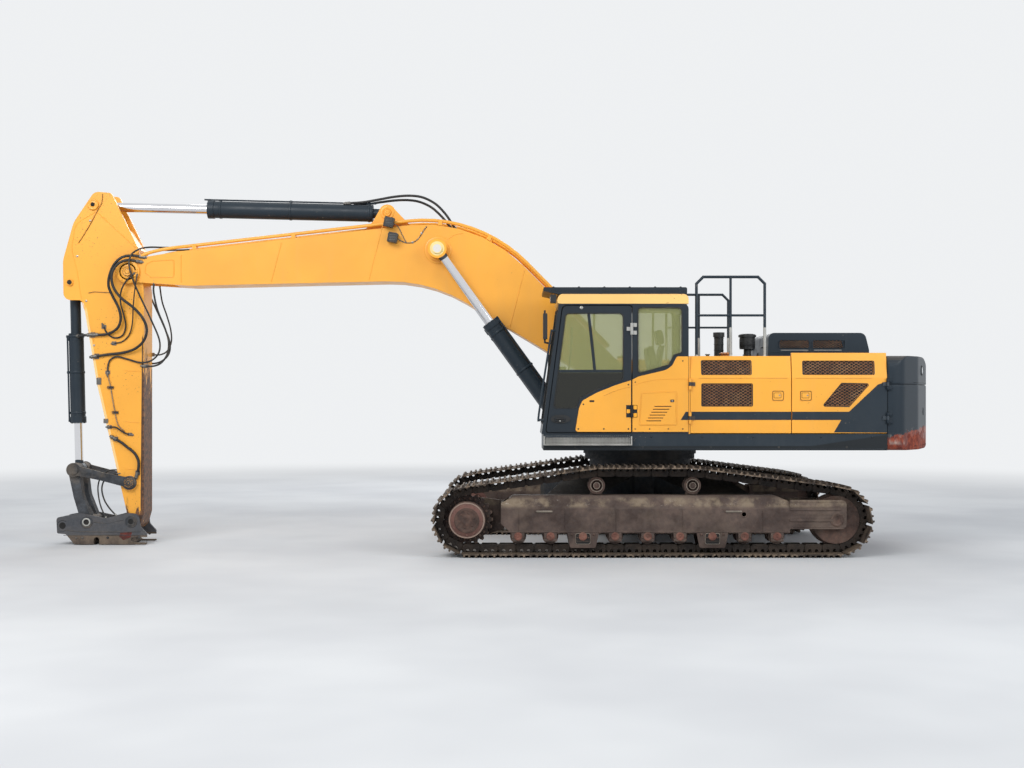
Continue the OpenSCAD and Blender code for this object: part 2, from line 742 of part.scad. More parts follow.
// Fixed body walls: posts behind the doors, the right rear panel and the wall behind the cab
module body_walls() {
  half = upper_w / 2;
  post = half - panel_t - door_gap - lean;
  wall_front = cab_rear - 2 * pin_gap;
  floor_z = deck_top + pin_gap;
  roof_z = door_top - 60;
  color(orange) {
    for (s = [-1, 1]) {
      // Posts at the door lines
      block(door_split - 45, door_split + 45, s < 0 ? -post : post - 50, s < 0 ? -post + 50 : post,
        floor_z, roof_z);
      block(door_front, wall_front, s < 0 ? -half : cab_in - 1, s < 0 ? -cab_in + 1 : half, floor_z,
        roof_z + 58);
      block(body_rear + 2 * pin_gap, body_rear + 30, s < 0 ? -post : 1150, s < 0 ? -1150 : post,
        floor_z, roof_z);
    }
    // Middle of the wall behind the cab, above the beams
    block(door_front, wall_front, -cab_in, cab_in, beam_top_z + pin_gap, roof_z + 58);
    // Right rear side
    difference() {
      mirror([0, 1, 0]) bar_x(body_rear + 3, door_split - 3) side_profile(floor_z, rear_door_top);
      mirror([0, 1, 0]) grille_cut(rear_grilles, floor_z, rear_door_top);
    }
    block(door_split - 45, door_split - 3, -half + panel_t - 2, -post + 2, floor_z, crease_z - 10);
  }
  color(slate) {
    for (z = hinge_zs) {
      hinge_fixed(door_front, hinge_y, z, 14);
      mirror([0, 1, 0]) hinge_fixed(door_front, hinge_y, z, 14);
    }
  }
}

module body_top() {
  half = upper_w / 2 - lean - panel_t - door_gap;
  low = door_top - 60 + pin_gap;
  color(slate) {
    difference() {
      block(body_rear + 3, door_front - pin_gap, -half, half, low, low + 45);
      block(hood_rear + 60, hood_front - 60, -hood_y + 60, hood_y - 60, low - 1, low + 46);
    }
    for (s = [-1, 1]) {
      y = s * hood_hinge_y;
      rod_y(hood_axis, 8, y - 60, y + 60);
      // Lugs that stay inside the hood's swing, lower than its own knuckles
      for (k = [-1, 1]) block(hood_rear + 3, hood_axis[0] + 13, y + k * 40 - 20, y + k * 40 + 20, low + 44,
        hood_axis[1] + 10);
    }
  }
}

hood_front = -1519;
hood_rear = -2779;
hood_y = 700;
hood_low = 2345;
hood_top = 2670;
// Axis of the hood's hinges, at its rear edge
hood_axis = [hood_rear + 7, hood_low + 37];
hood_hinge_y = 480;

module hood() {
  rows = [[hood_rear + 8, hood_low, 0], [hood_front, hood_low, 0], [hood_front - 12, hood_top, 70],
    [hood_rear + 59, hood_top, 80], [hood_rear + 8, hood_low + 115, 60]];
  color(slate) {
    difference() {
      slab(-hood_y, hood_y) polygon(rounded(rows));
      slab(-hood_y + 30, hood_y - 30) polygon(rounded(inset(rows, 30)));
      block(hood_rear + 60, hood_front - 60, -hood_y + 30, hood_y - 30, hood_low - 1, hood_low + 40);
      // Slots of the two side windows
      for (s = [-1, 1], x = [hood_rear + 312 : 24 : hood_front - 140]) if (abs(x - hood_rear - 725) > 30)
        block(x, x + 11, s * hood_y - 40, s * hood_y + 40, hood_low + 137, hood_low + 231);
      // Room round the hinges
      for (s = [-1, 1]) block(hood_rear, hood_rear + 30, s * hood_hinge_y - 62, s * hood_hinge_y + 62,
        hood_low - 1, hood_axis[1] + 22);
    }
    for (s = [-1, 1]) difference() {
      y = s * hood_hinge_y;
      union() {
        rod_y(hood_axis, 17, y - 19.7, y + 19.7);
        block(hood_axis[0], hood_rear + 40, y - 19.7, y + 19.7, hood_axis[1] - 17, hood_axis[1] + 17);
      }
      rod_y(hood_axis, 8 + pin_gap, y - 30, y + 30);
    }
  }
}

module air_cleaner() {
  low = door_top - 15 + 2 * pin_gap;
  color("dimgray") translate([-1290, 560, low]) {
    cylinder(r = 45, h = 130);
    translate([0, 0, 129]) cylinder(r = 95, h = 150);
    translate([0, 0, 278]) cylinder(r = 110, h = 25);
  }
  color(rust) translate([-1100, -520, low]) {
    cylinder(r = 62, h = 330);
    translate([0, 0, 329]) cylinder(r = 75, h = 60);
  }
}

// Fuel tank and toolbox along the right side
tank_front = 560;
tank_top = 2380;
toolbox_front = deck_front - 90;
toolbox_top = 1900;
filler = [150, -900];

module tank() {
  half = upper_w / 2;
  color(orange) {
    bar_x(cab_rear, tank_front) polygon(rounded([[-half, deck_top + pin_gap, 0],
      [-cab_in, deck_top + pin_gap, 0], [-cab_in, tank_top, 40], [-half + 10, tank_top, 60]]));
    translate([filler[0], filler[1], tank_top - 1]) cylinder(r = 60, h = 45);
  }
}

module toolbox() {
  half = upper_w / 2;
  color(orange) {
    block(tank_front + pin_gap, toolbox_front, -half, -cab_in, deck_top + pin_gap, toolbox_top);
  }
}

// Cab
half_w = upper_w / 2;
cab_low = deck_top + pin_gap;
front_out = 30;
door_lap = 20;
cab_hinge_zs = [1640, 2610];

function cab_front_at(z) = cab_front_low + (cab_front_top - cab_front_low) * (z - deck_top)
  / (cab_door_top - deck_top);

cab_rows = [[cab_rear, cab_low, 0], [cab_front_low + front_out, cab_low, 0],
  [cab_front_at(cab_door_top) + front_out, cab_door_top - 4, 0], [cab_rear, cab_door_top - 4, 60]];

// Door outline, grown by g on every side
function door_rows(g) = [[cab_hinge_x - g, deck_top + 20 - g, 20],
  [cab_front_at(deck_top + 20) - door_lap + g, deck_top + 20 - g, 30],
  [cab_front_at(cab_door_top) - door_lap + g, cab_door_top - 30 + g, 60], [cab_hinge_x - g,
    cab_door_top - 30 + g, 30]];

side_window = [[157, 2150, 30], [157, 2930, 60], [cab_rear + 80, 2930, 60], [cab_rear + 80, 2395, 20],
  [-268, 2372, 40],
  [-205, 2252, 60]];
right_window = [[cab_rear + 80, 2100, 60], [cab_front_at(2100) - 90, 2100, 60],
  [cab_front_at(2930) - 90, 2930, 60],
  [cab_rear + 80, 2930, 60]];

module front_window(y0, y1, out) {
  z0 = 1560;
  z1 = 2900;
  slab(y0, y1) polygon([[cab_front_at(z0) + out - cab_t, z0], [cab_front_at(z0) + out + cab_t, z0],
    [cab_front_at(z1) + out + cab_t, z1], [cab_front_at(z1) + out - cab_t, z1]]);
}

module cab() {
  color(slate) difference() {
    union() {
      difference() {
        slab(cab_in, half_w) polygon(rounded(cab_rows));
        slab(cab_in + cab_t, half_w - cab_t) polygon(rounded(inset(cab_rows, cab_t)));
      }
    }
    slab(half_w - cab_t - 1, half_w + 1) polygon(rounded(door_rows(door_gap)));
    slab(half_w - cab_t - 1, half_w + 1) polygon(rounded(side_window));
    slab(cab_in - 1, cab_in + cab_t + 1) polygon(rounded(right_window));
    front_window(cab_in + 70, half_w - 70, front_out);
    // Rear window
    block(cab_rear - 1, cab_rear + cab_t + 1, cab_in + 100, half_w - 100, rear_pane_low - 1, pane_top + 1);
  }
  color("silver") for (z = cab_hinge_zs) hinge_fixed(cab_hinge_x, hinge_y, z, -60);
}

module cab_roof() {
  color(orange) slab(cab_in, half_w) polygon(rounded([[cab_rear, cab_door_top - 4 + pin_gap, 0],
    [1115, cab_door_top - 4 + pin_gap, 30], [1090, cab_top, 60], [cab_rear, cab_top, 60]]));
}

module roof_guard() {
  z0 = cab_top + pin_gap;
  color(slate) {
    slab(cab_in + 20, half_w - 20) polygon(rounded([[-425, z0, 0], [1100, z0, 0],
      [1269, guard_top - 45, 15], [1269, guard_top, 15], [-425, guard_top, 20]]));
  }
}

module pane(rows, y, t) {
  slab(y - t / 2, y + t / 2) polygon(rounded(rows));
}

// Raised lower panels of the cab's left side, one on the wall and one on the door
panel_low = deck_top + 25;
panel_out = 7;

// Room round the cab door's hinge leaves
module leaf_notch() {
  for (z = cab_hinge_zs) block(cab_hinge_x - 66, cab_hinge_x + 66, half_w, half_w + 30, z - 5,
    z + 3 * knuckle_h + 5);
}

module cab_panel() {
  y0 = half_w + pin_gap;
  color(orange) difference() {
    union() {
      slab(y0, y0 + panel_out) polygon(rounded([[cab_rear + 4, panel_low, 0],
        [cab_hinge_x - 8, panel_low, 0], [cab_hinge_x - 8, 2080, 0], [150, 2117, 0], [-184, 2196, 200],
        [-248, 2250, 60], [-300, 2353, 30], [cab_rear + 4, 2353, 10]]));
      // Louvred cover
      slab(y0 + panel_out - 1, y0 + panel_out + 5)
        polygon(rounded([[-302, 1541, 20], [145, 1541, 20], [120, 1930, 20], [-302, 1946, 20]]));
    }
    for (i = [0 : 5]) block(-114 - 24 * i, 58 - 19 * i, half_w, half_w + 30, 1594 + 34 * i, 1603 + 34 * i);
    leaf_notch();
  }
}

module door_panel() {
  y0 = half_w + pin_gap;
  color(orange) difference() {
    slab(y0, y0 + panel_out) polygon(rounded([[cab_hinge_x + 8, panel_low, 0], [897, panel_low, 30],
      [852, 1742, 60], [812, 1832, 60], [650, 1922, 400], [427, 2013, 0], [cab_hinge_x + 8, 2072, 0]]));
    leaf_notch();
  }
}

// Heights of the front and rear panes
front_pane_low = deck_top + 121;
rear_pane_low = deck_top + 811;
pane_top = cab_door_top - 79;

module cab_glass() {
  color("paleturquoise", 0.4) {
    pane(inset(side_window, 1), half_w - cab_t / 2, glass_t);
    pane(inset(right_window, 1), cab_in + cab_t / 2, glass_t);
    intersection() {
      front_window(cab_in + 71, half_w - 71, front_out);
      slab(cab_in + 71, half_w - 71) polygon([
        [cab_front_at(front_pane_low) + 12, front_pane_low],
        [cab_front_at(front_pane_low) + 18, front_pane_low],
        [cab_front_at(pane_top) + 18, pane_top], [cab_front_at(pane_top) + 12, pane_top]]);
    }
    block(cab_rear + 22, cab_rear + 28, cab_in + 101, half_w - 101, rear_pane_low, pane_top);
  }
}

// Cab door: a frame as thick as the wall with an upper sliding window and a lower pane
door_window_rows = [[885, 1742, 30], [cab_front_at(1742) - 70, 1742, 50],
  [cab_front_at(2860) - 70, 2860, 60], [cab_hinge_x + 100, 2860, 60], [cab_hinge_x + 100, 2085, 30],
  [650, 1958, 400], [838, 1862, 60]];

module cab_door() {
  y0 = half_w - cab_t + 2;
  color(slate) difference() {
    slab(y0, half_w) polygon(rounded(door_rows(0)));
    slab(y0 - 1, half_w + 1) polygon(rounded(door_window_rows));
  }
  color(slate) {
    slab(y0 + 8, half_w - 8) polygon([[cab_hinge_x + 90, 2165], [cab_front_at(2165) - 60, 2165],
      [cab_front_at(2195) - 60, 2195], [cab_hinge_x + 90, 2195]]);
    slab(y0 + 8, half_w - 8) polygon([[648, 2190], [680, 2190], [754, 2865], [722, 2865]]);
    for (z = cab_hinge_zs) hinge_moving(cab_hinge_x, hinge_y, z, 60);
    // Handle
    block(1015, 1135, half_w - 1, half_w + 26, 1590, 1630);
  }
}

module door_glass() {
  color("paleturquoise", 0.4) difference() {
    pane(inset(door_window_rows, 1), half_w - 10, glass_t);
    block(0, 1500, half_w - 50, half_w, 2164, 2196);
    slab(half_w - 50, half_w) polygon([[646, 2180], [682, 2180], [757, 2880], [719, 2880]]);
  }
}

// Middle of the cab's width, and the consoles' distance from it
cab_mid = (cab_in + half_w) / 2;
console_t = 110;
console_off = half_w - cab_mid - cab_t - console_t - 5;

module seat() {
  // The cushion fills the room between the consoles
  half = console_off - console_t / 2 - 10;
  color("#333333") translate([160, cab_mid, cab_low + cab_t + pin_gap]) {
    block(-140, 180, -half + 75, half - 75, 0, 250);
    block(-230, 270, -half, half, 249, 380);
    slab(-half + 15, half - 15)
      polygon(rounded([[-230, 370, 20], [-90, 370, 20], [-230, 1010, 60], [-350, 1010, 40]]));
    slab(-half + 115, half - 115)
      polygon(rounded([[-245, 1005, 10], [-345, 1005, 10], [-370, 1200, 40], [-270, 1200, 40]]));
  }
}

module controls() {
  low = cab_low + cab_t + pin_gap;
  y = cab_mid;
  color("#2b2b2b") {
    for (s = [-1, 1]) {
      side = y + s * console_off;
      block(-50, 480, side - console_t / 2, side + console_t / 2, low, low + 430);
      tube([[440, side, low + 429], [470, side, low + 600]], 14);
      translate([470, side, low + 600]) cylinder(r = 24, h = 110, $fn = 20);
    }
    for (s = [-1, 1]) tube([[900, y + s * 90, low + 4], [840, y + s * 90, low + 480]], 12);
    for (s = [-1, 1]) block(800, 960, y + s * 90 - 45, y + s * 90 + 45, low, low + 40);
    block(980, 1060, cab_in + cab_t + pin_gap, cab_in + cab_t + 160, low + 480, low + 760);
  }
}

module mirrors() {
  color("#1f1f1f") {
    // Left mirror on its arm, and the work lamp above it
    y = half_w - 60;
    tube([[cab_front_at(2500) + front_out + 4, y, 2500], [cab_front_at(2500) + 130, y, 2520],
      [cab_front_at(2500) + 130, y, 2900]], 11);
    block(cab_front_at(2500) + 105, cab_front_at(2500) + 150, y - 90, y + 90, 2560, 2860);
    block(cab_front_top + 58, cab_front_top + 125, y - 60, y + 60, cab_door_top + 7, cab_top - 8);
  }
}

rail_r_tube = 17;
rail_low = door_top - 15;

rail_top = 3300;
rail_mid = 2844;
rail_rear = -1358;
rail_post = -953;
rail_bend = 80;

// An arch of pipe: up at x0, forward or back to x1, and down again, with bevelled corners
module pipe_arch(x0, x1, y, low, high) {
  bend = sign(x1 - x0) * rail_bend;
  tube([[x0, y, low], [x0, y, high - rail_bend], [x0 + bend, y, high], [x1 - bend, y, high],
    [x1, y, high - rail_bend], [x1, y, low]], rail_r_tube);
}

module handrails() {
  y_out = upper_w / 2 - lean - panel_t - 40;
  color(slate) {
    for (s = [-1, 1]) {
      y = s * y_out;
      rail_front = door_front - (s > 0 ? 93 : 45);
      pipe_arch(rail_front, rail_rear, y, rail_low + 2 * pin_gap, rail_top);
      tube([[rail_front, y, rail_mid], [rail_rear, y, rail_mid]], rail_r_tube - 3);
      tube([[rail_post, y, rail_low + 2 * pin_gap], [rail_post, y, rail_top]], rail_r_tube - 2);
    }
    // Grab rail along the tank and toolbox
    y = -upper_w / 2 + 90;
    pipe_arch(tank_front - 60, cab_rear + 120, y, tank_top + pin_gap, rail_top);
    pipe_arch(toolbox_front - 60, tank_front + 40, y, toolbox_top + pin_gap, toolbox_top + 800);
  }
}

// Boom outline along its pin line, rows of x, z and radius
boom_rows = [[-120, -130, 110], [2760, 785, 1900], [boom_l - 800, 10, 100], [boom_l - 140, -105, 60],
  [boom_l + 120, -110, 100], [boom_l + 130, 110, 110], [boom_l - 560, 400, 300], [2370, 1700, 1780],
  [-90, 170, 130]];

module boom() {
  half = boom_w / 2;
  color(orange) along(foot, boom_angle) difference() {
    union() {
      slab(-half, half) polygon(rounded(boom_rows));
      rod_y([0, 0], 185, -half, half);
      // Bosses for the boom cylinders' rod pins
      both_sides() rod_y(boom_lug, 140, half - 1, boom_cyl_y - 70);
      both_sides() rod_y([boom_l, 0], 150, half - 1, half + 28);
      // Ears for the arm cylinder
      both_sides() slab(75, 115) union() {
        translate(arm_lug) circle(r = 105);
        polygon([arm_lug + [-340, -100], arm_lug + [-80, 66], arm_lug + [98, 38], arm_lug + [150, -150],
          arm_lug + [300, -400], arm_lug + [-300, -240]]);
      }
    }
    intersection() {
      slab(-half + box_t, half - box_t) polygon(rounded(inset(boom_rows, box_t)));
      block(260, boom_l - fork_l - 60, -half, half, -500, 2500);
    }
    rod_y([0, 0], foot_pin_r + pin_gap, -half - 1, half + 1);
    block(boom_l - fork_l, boom_l + 300, -arm_w / 2 - 10, arm_w / 2 + 10, -400, 800);
    // Inspection hole under the foot
    rod_z([700, 0], 40, 100, 400);
  }
  color(steel) {
    rod_y(nose, nose_pin_r, -half - 45, half + 45);
    rod_y(arm_cyl_foot, 48, -135, 135);
  }
}

// Oil pipes along the boom's top, with their clamps
pipe_lift = 58;
pipe_reach = 18;
crest_r = boom_rows[7][2];
crest = boom_rows[7];
slope_front = heading([boom_rows[6][0] - crest[0], boom_rows[6][1] - crest[1]]);
slope_back = heading([boom_rows[8][0] - crest[0], boom_rows[8][1] - crest[1]]);
crest_turn = slope_back - slope_front + 180;
crest_cut = crest_r * tan(crest_turn / 2);
crest_hub = flat(crest) + polar(crest_cut, slope_front) + polar(crest_r, slope_front - 90);

// Point at height h over the boom's top: along the front slope, round the crest or down the back slope
function over_front(x, h) = flat(crest) + polar(x, slope_front) + polar(h, slope_front + 90);
function over_crest(share, h) = crest_hub + polar(crest_r + h, slope_front + 90 + share * crest_turn);
function over_back(x, h) = flat(crest) + polar(x, slope_back) + polar(h, slope_back - 90);

module pipe_clamp(at, a) {
  for (s = [-1, 1]) translate([at[0], s * 172, at[1]]) rotate([0, -a, 0]) translate([-26, -56, 0.4])
    cube([52, 112, pipe_lift + 8]);
}

// A straight pipe from a to b in the boom's plane; its end at b reaches a little into the bend
module pipe_run(a, b, r, sides) {
  run = b - a;
  translate([a[0], 0, a[1]]) rotate([0, 90 - heading(run), 0])
    cylinder(r = r, h = norm(run) + pipe_reach, $fn = sides);
}

// The bend round the crest, half a millimetre thicker than the two pipes that end in it
module pipe_bend(r, sides) {
  translate([crest_hub[0], 0, crest_hub[1]]) rotate([90, 0, 0])
    rotate([0, 0, slope_front + 90 + min(0, crest_turn)]) rotate_extrude(angle = abs(crest_turn), $fn = 64)
      translate([crest_r + pipe_lift, 0]) circle(r = r + 0.5, $fn = sides);
}

module boom_pipes() {
  front_l = norm(flat(boom_rows[6]) - flat(crest));
  color(orange) along(foot, boom_angle) {
    // Side distance, radius and sides of the outer and the inner pipe
    for (s = [-1, 1], pipe = [[198, 22, 24], [146, 15, 16]]) translate([0, s * pipe[0], 0]) {
      pipe_run(over_front(front_l - 60, pipe_lift), over_front(crest_cut, pipe_lift), pipe[1], pipe[2]);
      pipe_bend(pipe[1], pipe[2]);
      pipe_run(over_back(2350, pipe_lift), over_back(crest_cut, pipe_lift), pipe[1], pipe[2]);
    }
    for (x = [front_l - 200, (front_l + crest_cut) / 2]) pipe_clamp(over_front(x, 0), slope_front);
    for (k = [0.25, 0.65]) pipe_clamp(over_crest(k, 0), slope_front + k * crest_turn);
    pipe_clamp(over_back(1500, 0), slope_back + 180);
  }
}

module rod_z(p, r, z0, z1) {
  translate([p[0], p[1], z0]) cylinder(r = r, h = z1 - z0);
}

module boom_lamps() {
  color("#222222") along(foot, boom_angle) for (at = [[3420, 1378], [3330, 1200]]) {
    translate([at[0], boom_w / 2 + pin_gap, at[1]]) {
      block(-60, 60, 0, 110, -60, 60);
    }
  }
}

// Arm outline along its pin line, rows of x, z and radius
arm_rows = [[-1010, 215, 60], [-284, -125, 400], [250, -185, 600], [arm_l - 110, -150, 60],
  [arm_l + 60, -100, 60], [arm_l + 60, 60, 60], [arm_l - 130, 70, 100], [arm_l - 630, 180, 500],
  [1420, 425, 900], [350, 590, 70], [345, 840, 90], [-160, 840, 300], [-640, 700, 400],
  [-1030, 430, 100]];
core_rows = [[-560, 40, 30], [-284, -125, 0], [250, -185, 600], [arm_l - 110, -150, 60],
  [arm_l + 60, -100, 60], [arm_l + 60, 60, 60], [arm_l - 130, 70, 100], [arm_l - 630, 180, 500],
  [1420, 425, 900], [350, 588, 40], [220, 560, 40], [-420, 330, 60]];

module arm() {
  half = arm_w / 2;
  color(orange) along(nose, arm_angle) difference() {
    union() {
      both_sides() slab(half - ear_t, half) polygon(rounded(arm_rows));
      slab(-half + ear_t, half - ear_t) polygon(rounded(core_rows));
      both_sides() rod_y(arm_ear, 90, 75, half - ear_t + 1);
      both_sides() rod_y(tip_lug, 90, 75, half - ear_t + 1);
      rod_y([arm_l, 0], 112, -half, half);
    }
    slab(-half + ear_t, half - ear_t) polygon(rounded(inset([[170, -170, 0], [arm_l - 700, -150, 0],
      [arm_l - 700, 190, 0],
      [1420, 420, 600], [330, 570, 0], [170, 500, 0]], box_t)));
    rod_y([0, 0], nose_pin_r + pin_gap, -half - 1, half + 1);
    rod_y([arm_l, 0], tip_pin_r + pin_gap, -half - 1, half + 1);
  }
  color(steel) {
    both_sides() rod_y(arm_eye, 70, half - 1, half + 22);
    rod_y(tip_cyl_foot, 45, -half - 20, half + 20);
    both_sides() rod_y(rocker_pin, 45, half - 1, half + 75);
    both_sides() rod_y(rocker_pin, 62, half + 60, half + 76);
  }
}

// Coupler outline about the arm's tip pin, rows of x, z and radius
coupler_low = -290;
coupler_rows = [[-195, coupler_low, 12], [720, coupler_low, 50], [830, -160, 30], [940, -150, 20],
  [hook_reach, 50, 40], [640, 105, 60], [330, 40, 100], [60, 106, 70], [-98, 100, 80], [-112, -60, 60],
  [-195, -150, 20]];
// Web between the side plates, and the nose in front of it
web_rows = [[-10, coupler_low, 10], [720, coupler_low, 30], [760, -160, 30], [640, -150, 20],
  [400, -165, 30], [-10, -165, 10]];
nose_rows = [[800, -160, 20], [hook_reach, -150, 20], [hook_reach, 50, 40], [830, 60, 20]];

module coupler() {
  half = coupler_w / 2;
  color(slate) translate([tip[0], 0, tip[1]]) {
    difference() {
      union() {
        both_sides() slab(half, half + coupler_t) polygon(rounded(coupler_rows));
        slab(-half, half) polygon(rounded(web_rows));
        slab(-70, 70) polygon(rounded(nose_rows));
        for (s = [-1, 1]) slab(s * 140 - 75, s * 140 + 75)
          polygon([[840, -140], [900, -140], [900, 20], [840, 20]]);
      }
      // Rear jaw, open to the back
      slab(-half - 60, half + 60) union() {
        translate([-30, jaw_z]) circle(r = jaw_r);
        translate([-300, jaw_z - jaw_r]) square([270, 2 * jaw_r]);
      }
      // Front jaw, open downwards
      slab(-half - 60, half + 60) union() {
        translate([440, jaw_z]) circle(r = jaw_r);
        translate([440 - jaw_r, coupler_low - 10]) square([2 * jaw_r, jaw_z - coupler_low + 10]);
      }
    }
  }
  color(steel) {
    rod_y(tip, tip_pin_r, -half - coupler_t - 18, half + coupler_t + 18);
    rod_y(coupler_pin, 45, -half - coupler_t - 14, half + coupler_t + 14);
  }
}

jaw_z = coupler_low + 22 + jaw_r;

module rocker() {
  y0 = arm_w / 2 + 12;
  y1 = y0 + 42;
  color(slate) both_sides() difference() {
    along(rocker_pin, rocker_angle) slab(y0, y1) union() {
      circle(r = 88);
      translate([rocker_l, 0]) circle(r = 88);
      polygon([[20, -62], [rocker_l / 2, -52], [rocker_l - 20, -62], [rocker_l - 20, 62], [rocker_l / 2,
        52], [20, 62]]);
    }
    rod_y(rocker_pin, 45 + pin_gap, y0 - 1, y1 + 1);
  }
  color(steel) both_sides() rod_y(link_pin, 62, y1 - 1, y1 + 18);
}

// Link: two bars with a curved web, on the coupler's pin
module link() {
  y0 = 80;
  y1 = arm_w / 2 + 4;
  color(slate) along(coupler_pin, heading(link_pin - coupler_pin)) difference() {
    union() {
      both_sides() {
        rod_y([0, 0], 82, y0 - 1, y1);
        rod_y([link_l, 0], 85, y0, y1);
        slab(y0, y1) polygon(rounded([[0, -80, 0], [link_l / 2, -95, 400], [link_l, -82, 0], [link_l,
          60, 0],
          [link_l / 2, 15, 300], [0, 60, 0]]));
      }
      rod_y([0, 0], 82, -y0, y0);
      slab(-y0, y0) polygon([[0, -80], [190, -88], [190, 0], [0, 50]]);
    }
    rod_y([0, 0], 45 + pin_gap, -y1 - 1, y1 + 1);
  }
}

// Cylinders along their pin line: barrel with its foot eye, gland and bore, and the rod with its eye
module barrel(l, r, rod_r, pin_r, eye_r, half, neck, neck_r, bore_from) {
  difference() {
    union() {
      rod_y([0, 0], eye_r, -half, half);
      translate([eye_r - 20, 0, 0]) rotate([0, 90, 0]) cylinder(r = neck_r, h = neck + 30 - eye_r);
      translate([neck, 0, 0]) rotate([0, 90, 0]) cylinder(r = r, h = l - neck - 70);
      translate([l - 80, 0, 0]) rotate([0, 90, 0]) cylinder(r = r + 9, h = 80);
    }
    rod_y([0, 0], pin_r + pin_gap, -half - 1, half + 1);
    translate([bore_from, 0, 0]) rotate([0, 90, 0]) cylinder(r = rod_r + pin_gap, h = l);
  }
}

module rod(l0, reach, r, eye_r, half, head) {
  translate([l0, 0, 0]) {
    rod_y([0, 0], eye_r, -half, half);
    rotate([0, -90, 0]) cylinder(r = r, h = reach);
    if (head > 0) rod_y([0, 0], 62, half - 1, half + head);
  }
}

boom_cyl_a = heading(boom_eye - boom_cyl_foot);
boom_cyl_l = norm(boom_eye - boom_cyl_foot);
arm_cyl_a = heading(arm_eye - arm_cyl_foot);
arm_cyl_l = norm(arm_eye - arm_cyl_foot);
tip_cyl_a = heading(link_pin - tip_cyl_foot);
tip_cyl_l = norm(link_pin - tip_cyl_foot);
boom_rod_l = 1900;
arm_rod_l = 2560;
tip_rod_l = 1810;

module boom_barrel(side) {
  color(slate) translate([0, side * boom_cyl_y, 0]) along(boom_cyl_foot, boom_cyl_a)
    barrel(boom_barrel_l, boom_barrel_r, boom_rod_r, 50, 112, 52, 150, 68, 172);
}

module boom_rod(side) {
  color("silver") translate([0, side * boom_cyl_y, 0]) mirror([0, side < 0 ? 1 : 0,
    0]) along(boom_cyl_foot, boom_cyl_a)
    rod(boom_cyl_l, boom_rod_l, boom_rod_r, 118, 52, 26);
}

module arm_barrel() {
  color(slate) along(arm_cyl_foot, arm_cyl_a) barrel(arm_barrel_l, arm_barrel_r, arm_rod_r, 48, 105, 62,
    190, 62, 212);
}

module arm_rod() {
  color("silver") along(arm_cyl_foot, arm_cyl_a) rod(arm_cyl_l, arm_rod_l, arm_rod_r, 105, 62, 0);
}

module tip_barrel() {
  color(slate) along(tip_cyl_foot, tip_cyl_a) barrel(tip_barrel_l, tip_barrel_r, tip_rod_r, 45, 95, 62,
    640, 66, 150);
}

module tip_rod() {
  color("silver") along(tip_cyl_foot, tip_cyl_a) rod(tip_cyl_l, tip_rod_l, tip_rod_r, 85, 60, 0);
}

place() car_body();
place() beam(1);  // beam_left
place() beam(-1);  // beam_right
place() track(1);  // track_left
place() track(-1);  // track_right
place() drive(1);  // drive_left
place() drive(-1);  // drive_right
place() idler(1);  // idler_left
place() idler(-1);  // idler_right
place() rollers(1);  // rollers_left
place() rollers(-1);  // rollers_right
place() revolving_frame();
place() deck();
place() steps();
place() engine();
place() counterweight();
place() body_walls();
place() body_top();
place() side_door_front();
place() side_door_rear();
place() pump_door();
place() hood();
place() air_cleaner();
place() tank();
place() toolbox();
place() cab();
place() cab_roof();
place() roof_guard();
place() cab_panel();
place() cab_glass();
place() cab_door();
place() door_glass();
place() door_panel();
place() seat();
place() controls();
place() mirrors();
place() handrails();
place() boom();
place() boom_lamps();
place() boom_pipes();
place() arm();
place() coupler();
place() rocker();
place() link();
place() boom_barrel(1);  // boom_barrel_left
place() boom_barrel(-1);  // boom_barrel_right
place() boom_rod(1);  // boom_rod_left
place() boom_rod(-1);  // boom_rod_right
place() arm_barrel();
place() arm_rod();
place() tip_barrel();
place() tip_rod();
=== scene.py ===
"""Crawler excavator: camera, light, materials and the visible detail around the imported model."""
import math
import random

import bmesh
import bpy
import numpy as np
from mathutils import Matrix, Vector
from mathutils.bvhtree import BVHTree


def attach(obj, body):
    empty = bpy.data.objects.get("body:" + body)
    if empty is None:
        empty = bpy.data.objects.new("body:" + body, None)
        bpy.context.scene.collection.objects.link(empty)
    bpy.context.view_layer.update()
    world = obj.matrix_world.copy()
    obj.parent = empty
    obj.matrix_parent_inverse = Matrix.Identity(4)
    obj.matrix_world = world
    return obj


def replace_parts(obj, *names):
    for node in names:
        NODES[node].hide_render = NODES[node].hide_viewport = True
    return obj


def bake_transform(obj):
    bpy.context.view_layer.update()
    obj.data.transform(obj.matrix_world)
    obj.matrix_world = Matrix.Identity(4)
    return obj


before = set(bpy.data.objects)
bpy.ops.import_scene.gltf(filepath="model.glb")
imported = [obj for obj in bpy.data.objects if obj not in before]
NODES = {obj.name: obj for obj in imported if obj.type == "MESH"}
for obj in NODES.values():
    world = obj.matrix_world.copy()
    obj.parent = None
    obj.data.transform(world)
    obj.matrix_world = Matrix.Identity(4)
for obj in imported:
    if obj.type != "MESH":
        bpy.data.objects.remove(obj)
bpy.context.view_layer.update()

# The machine's points are written from the slew axis, and the frame's origin lies ahead of it
SLEW_X = 1.92084
TO_FRAME = Vector((-SLEW_X, 0, 0))
# Half width of the upper structure
WALL = 1.49
# Directions, and the two sides
UP, LEFT, AHEAD = (0, 0, 1), (0, 1, 0), (1, 0, 0)
SIDES = (("left", 1), ("right", -1))

# Camera and light
FOCAL_PX = 1360
IMAGE_W = 1024
HORIZON_DROP_PX = 16
EYE = (1.64, 17.5, 1.84)
BACKDROP = (0.86, 0.875, 0.89, 1)

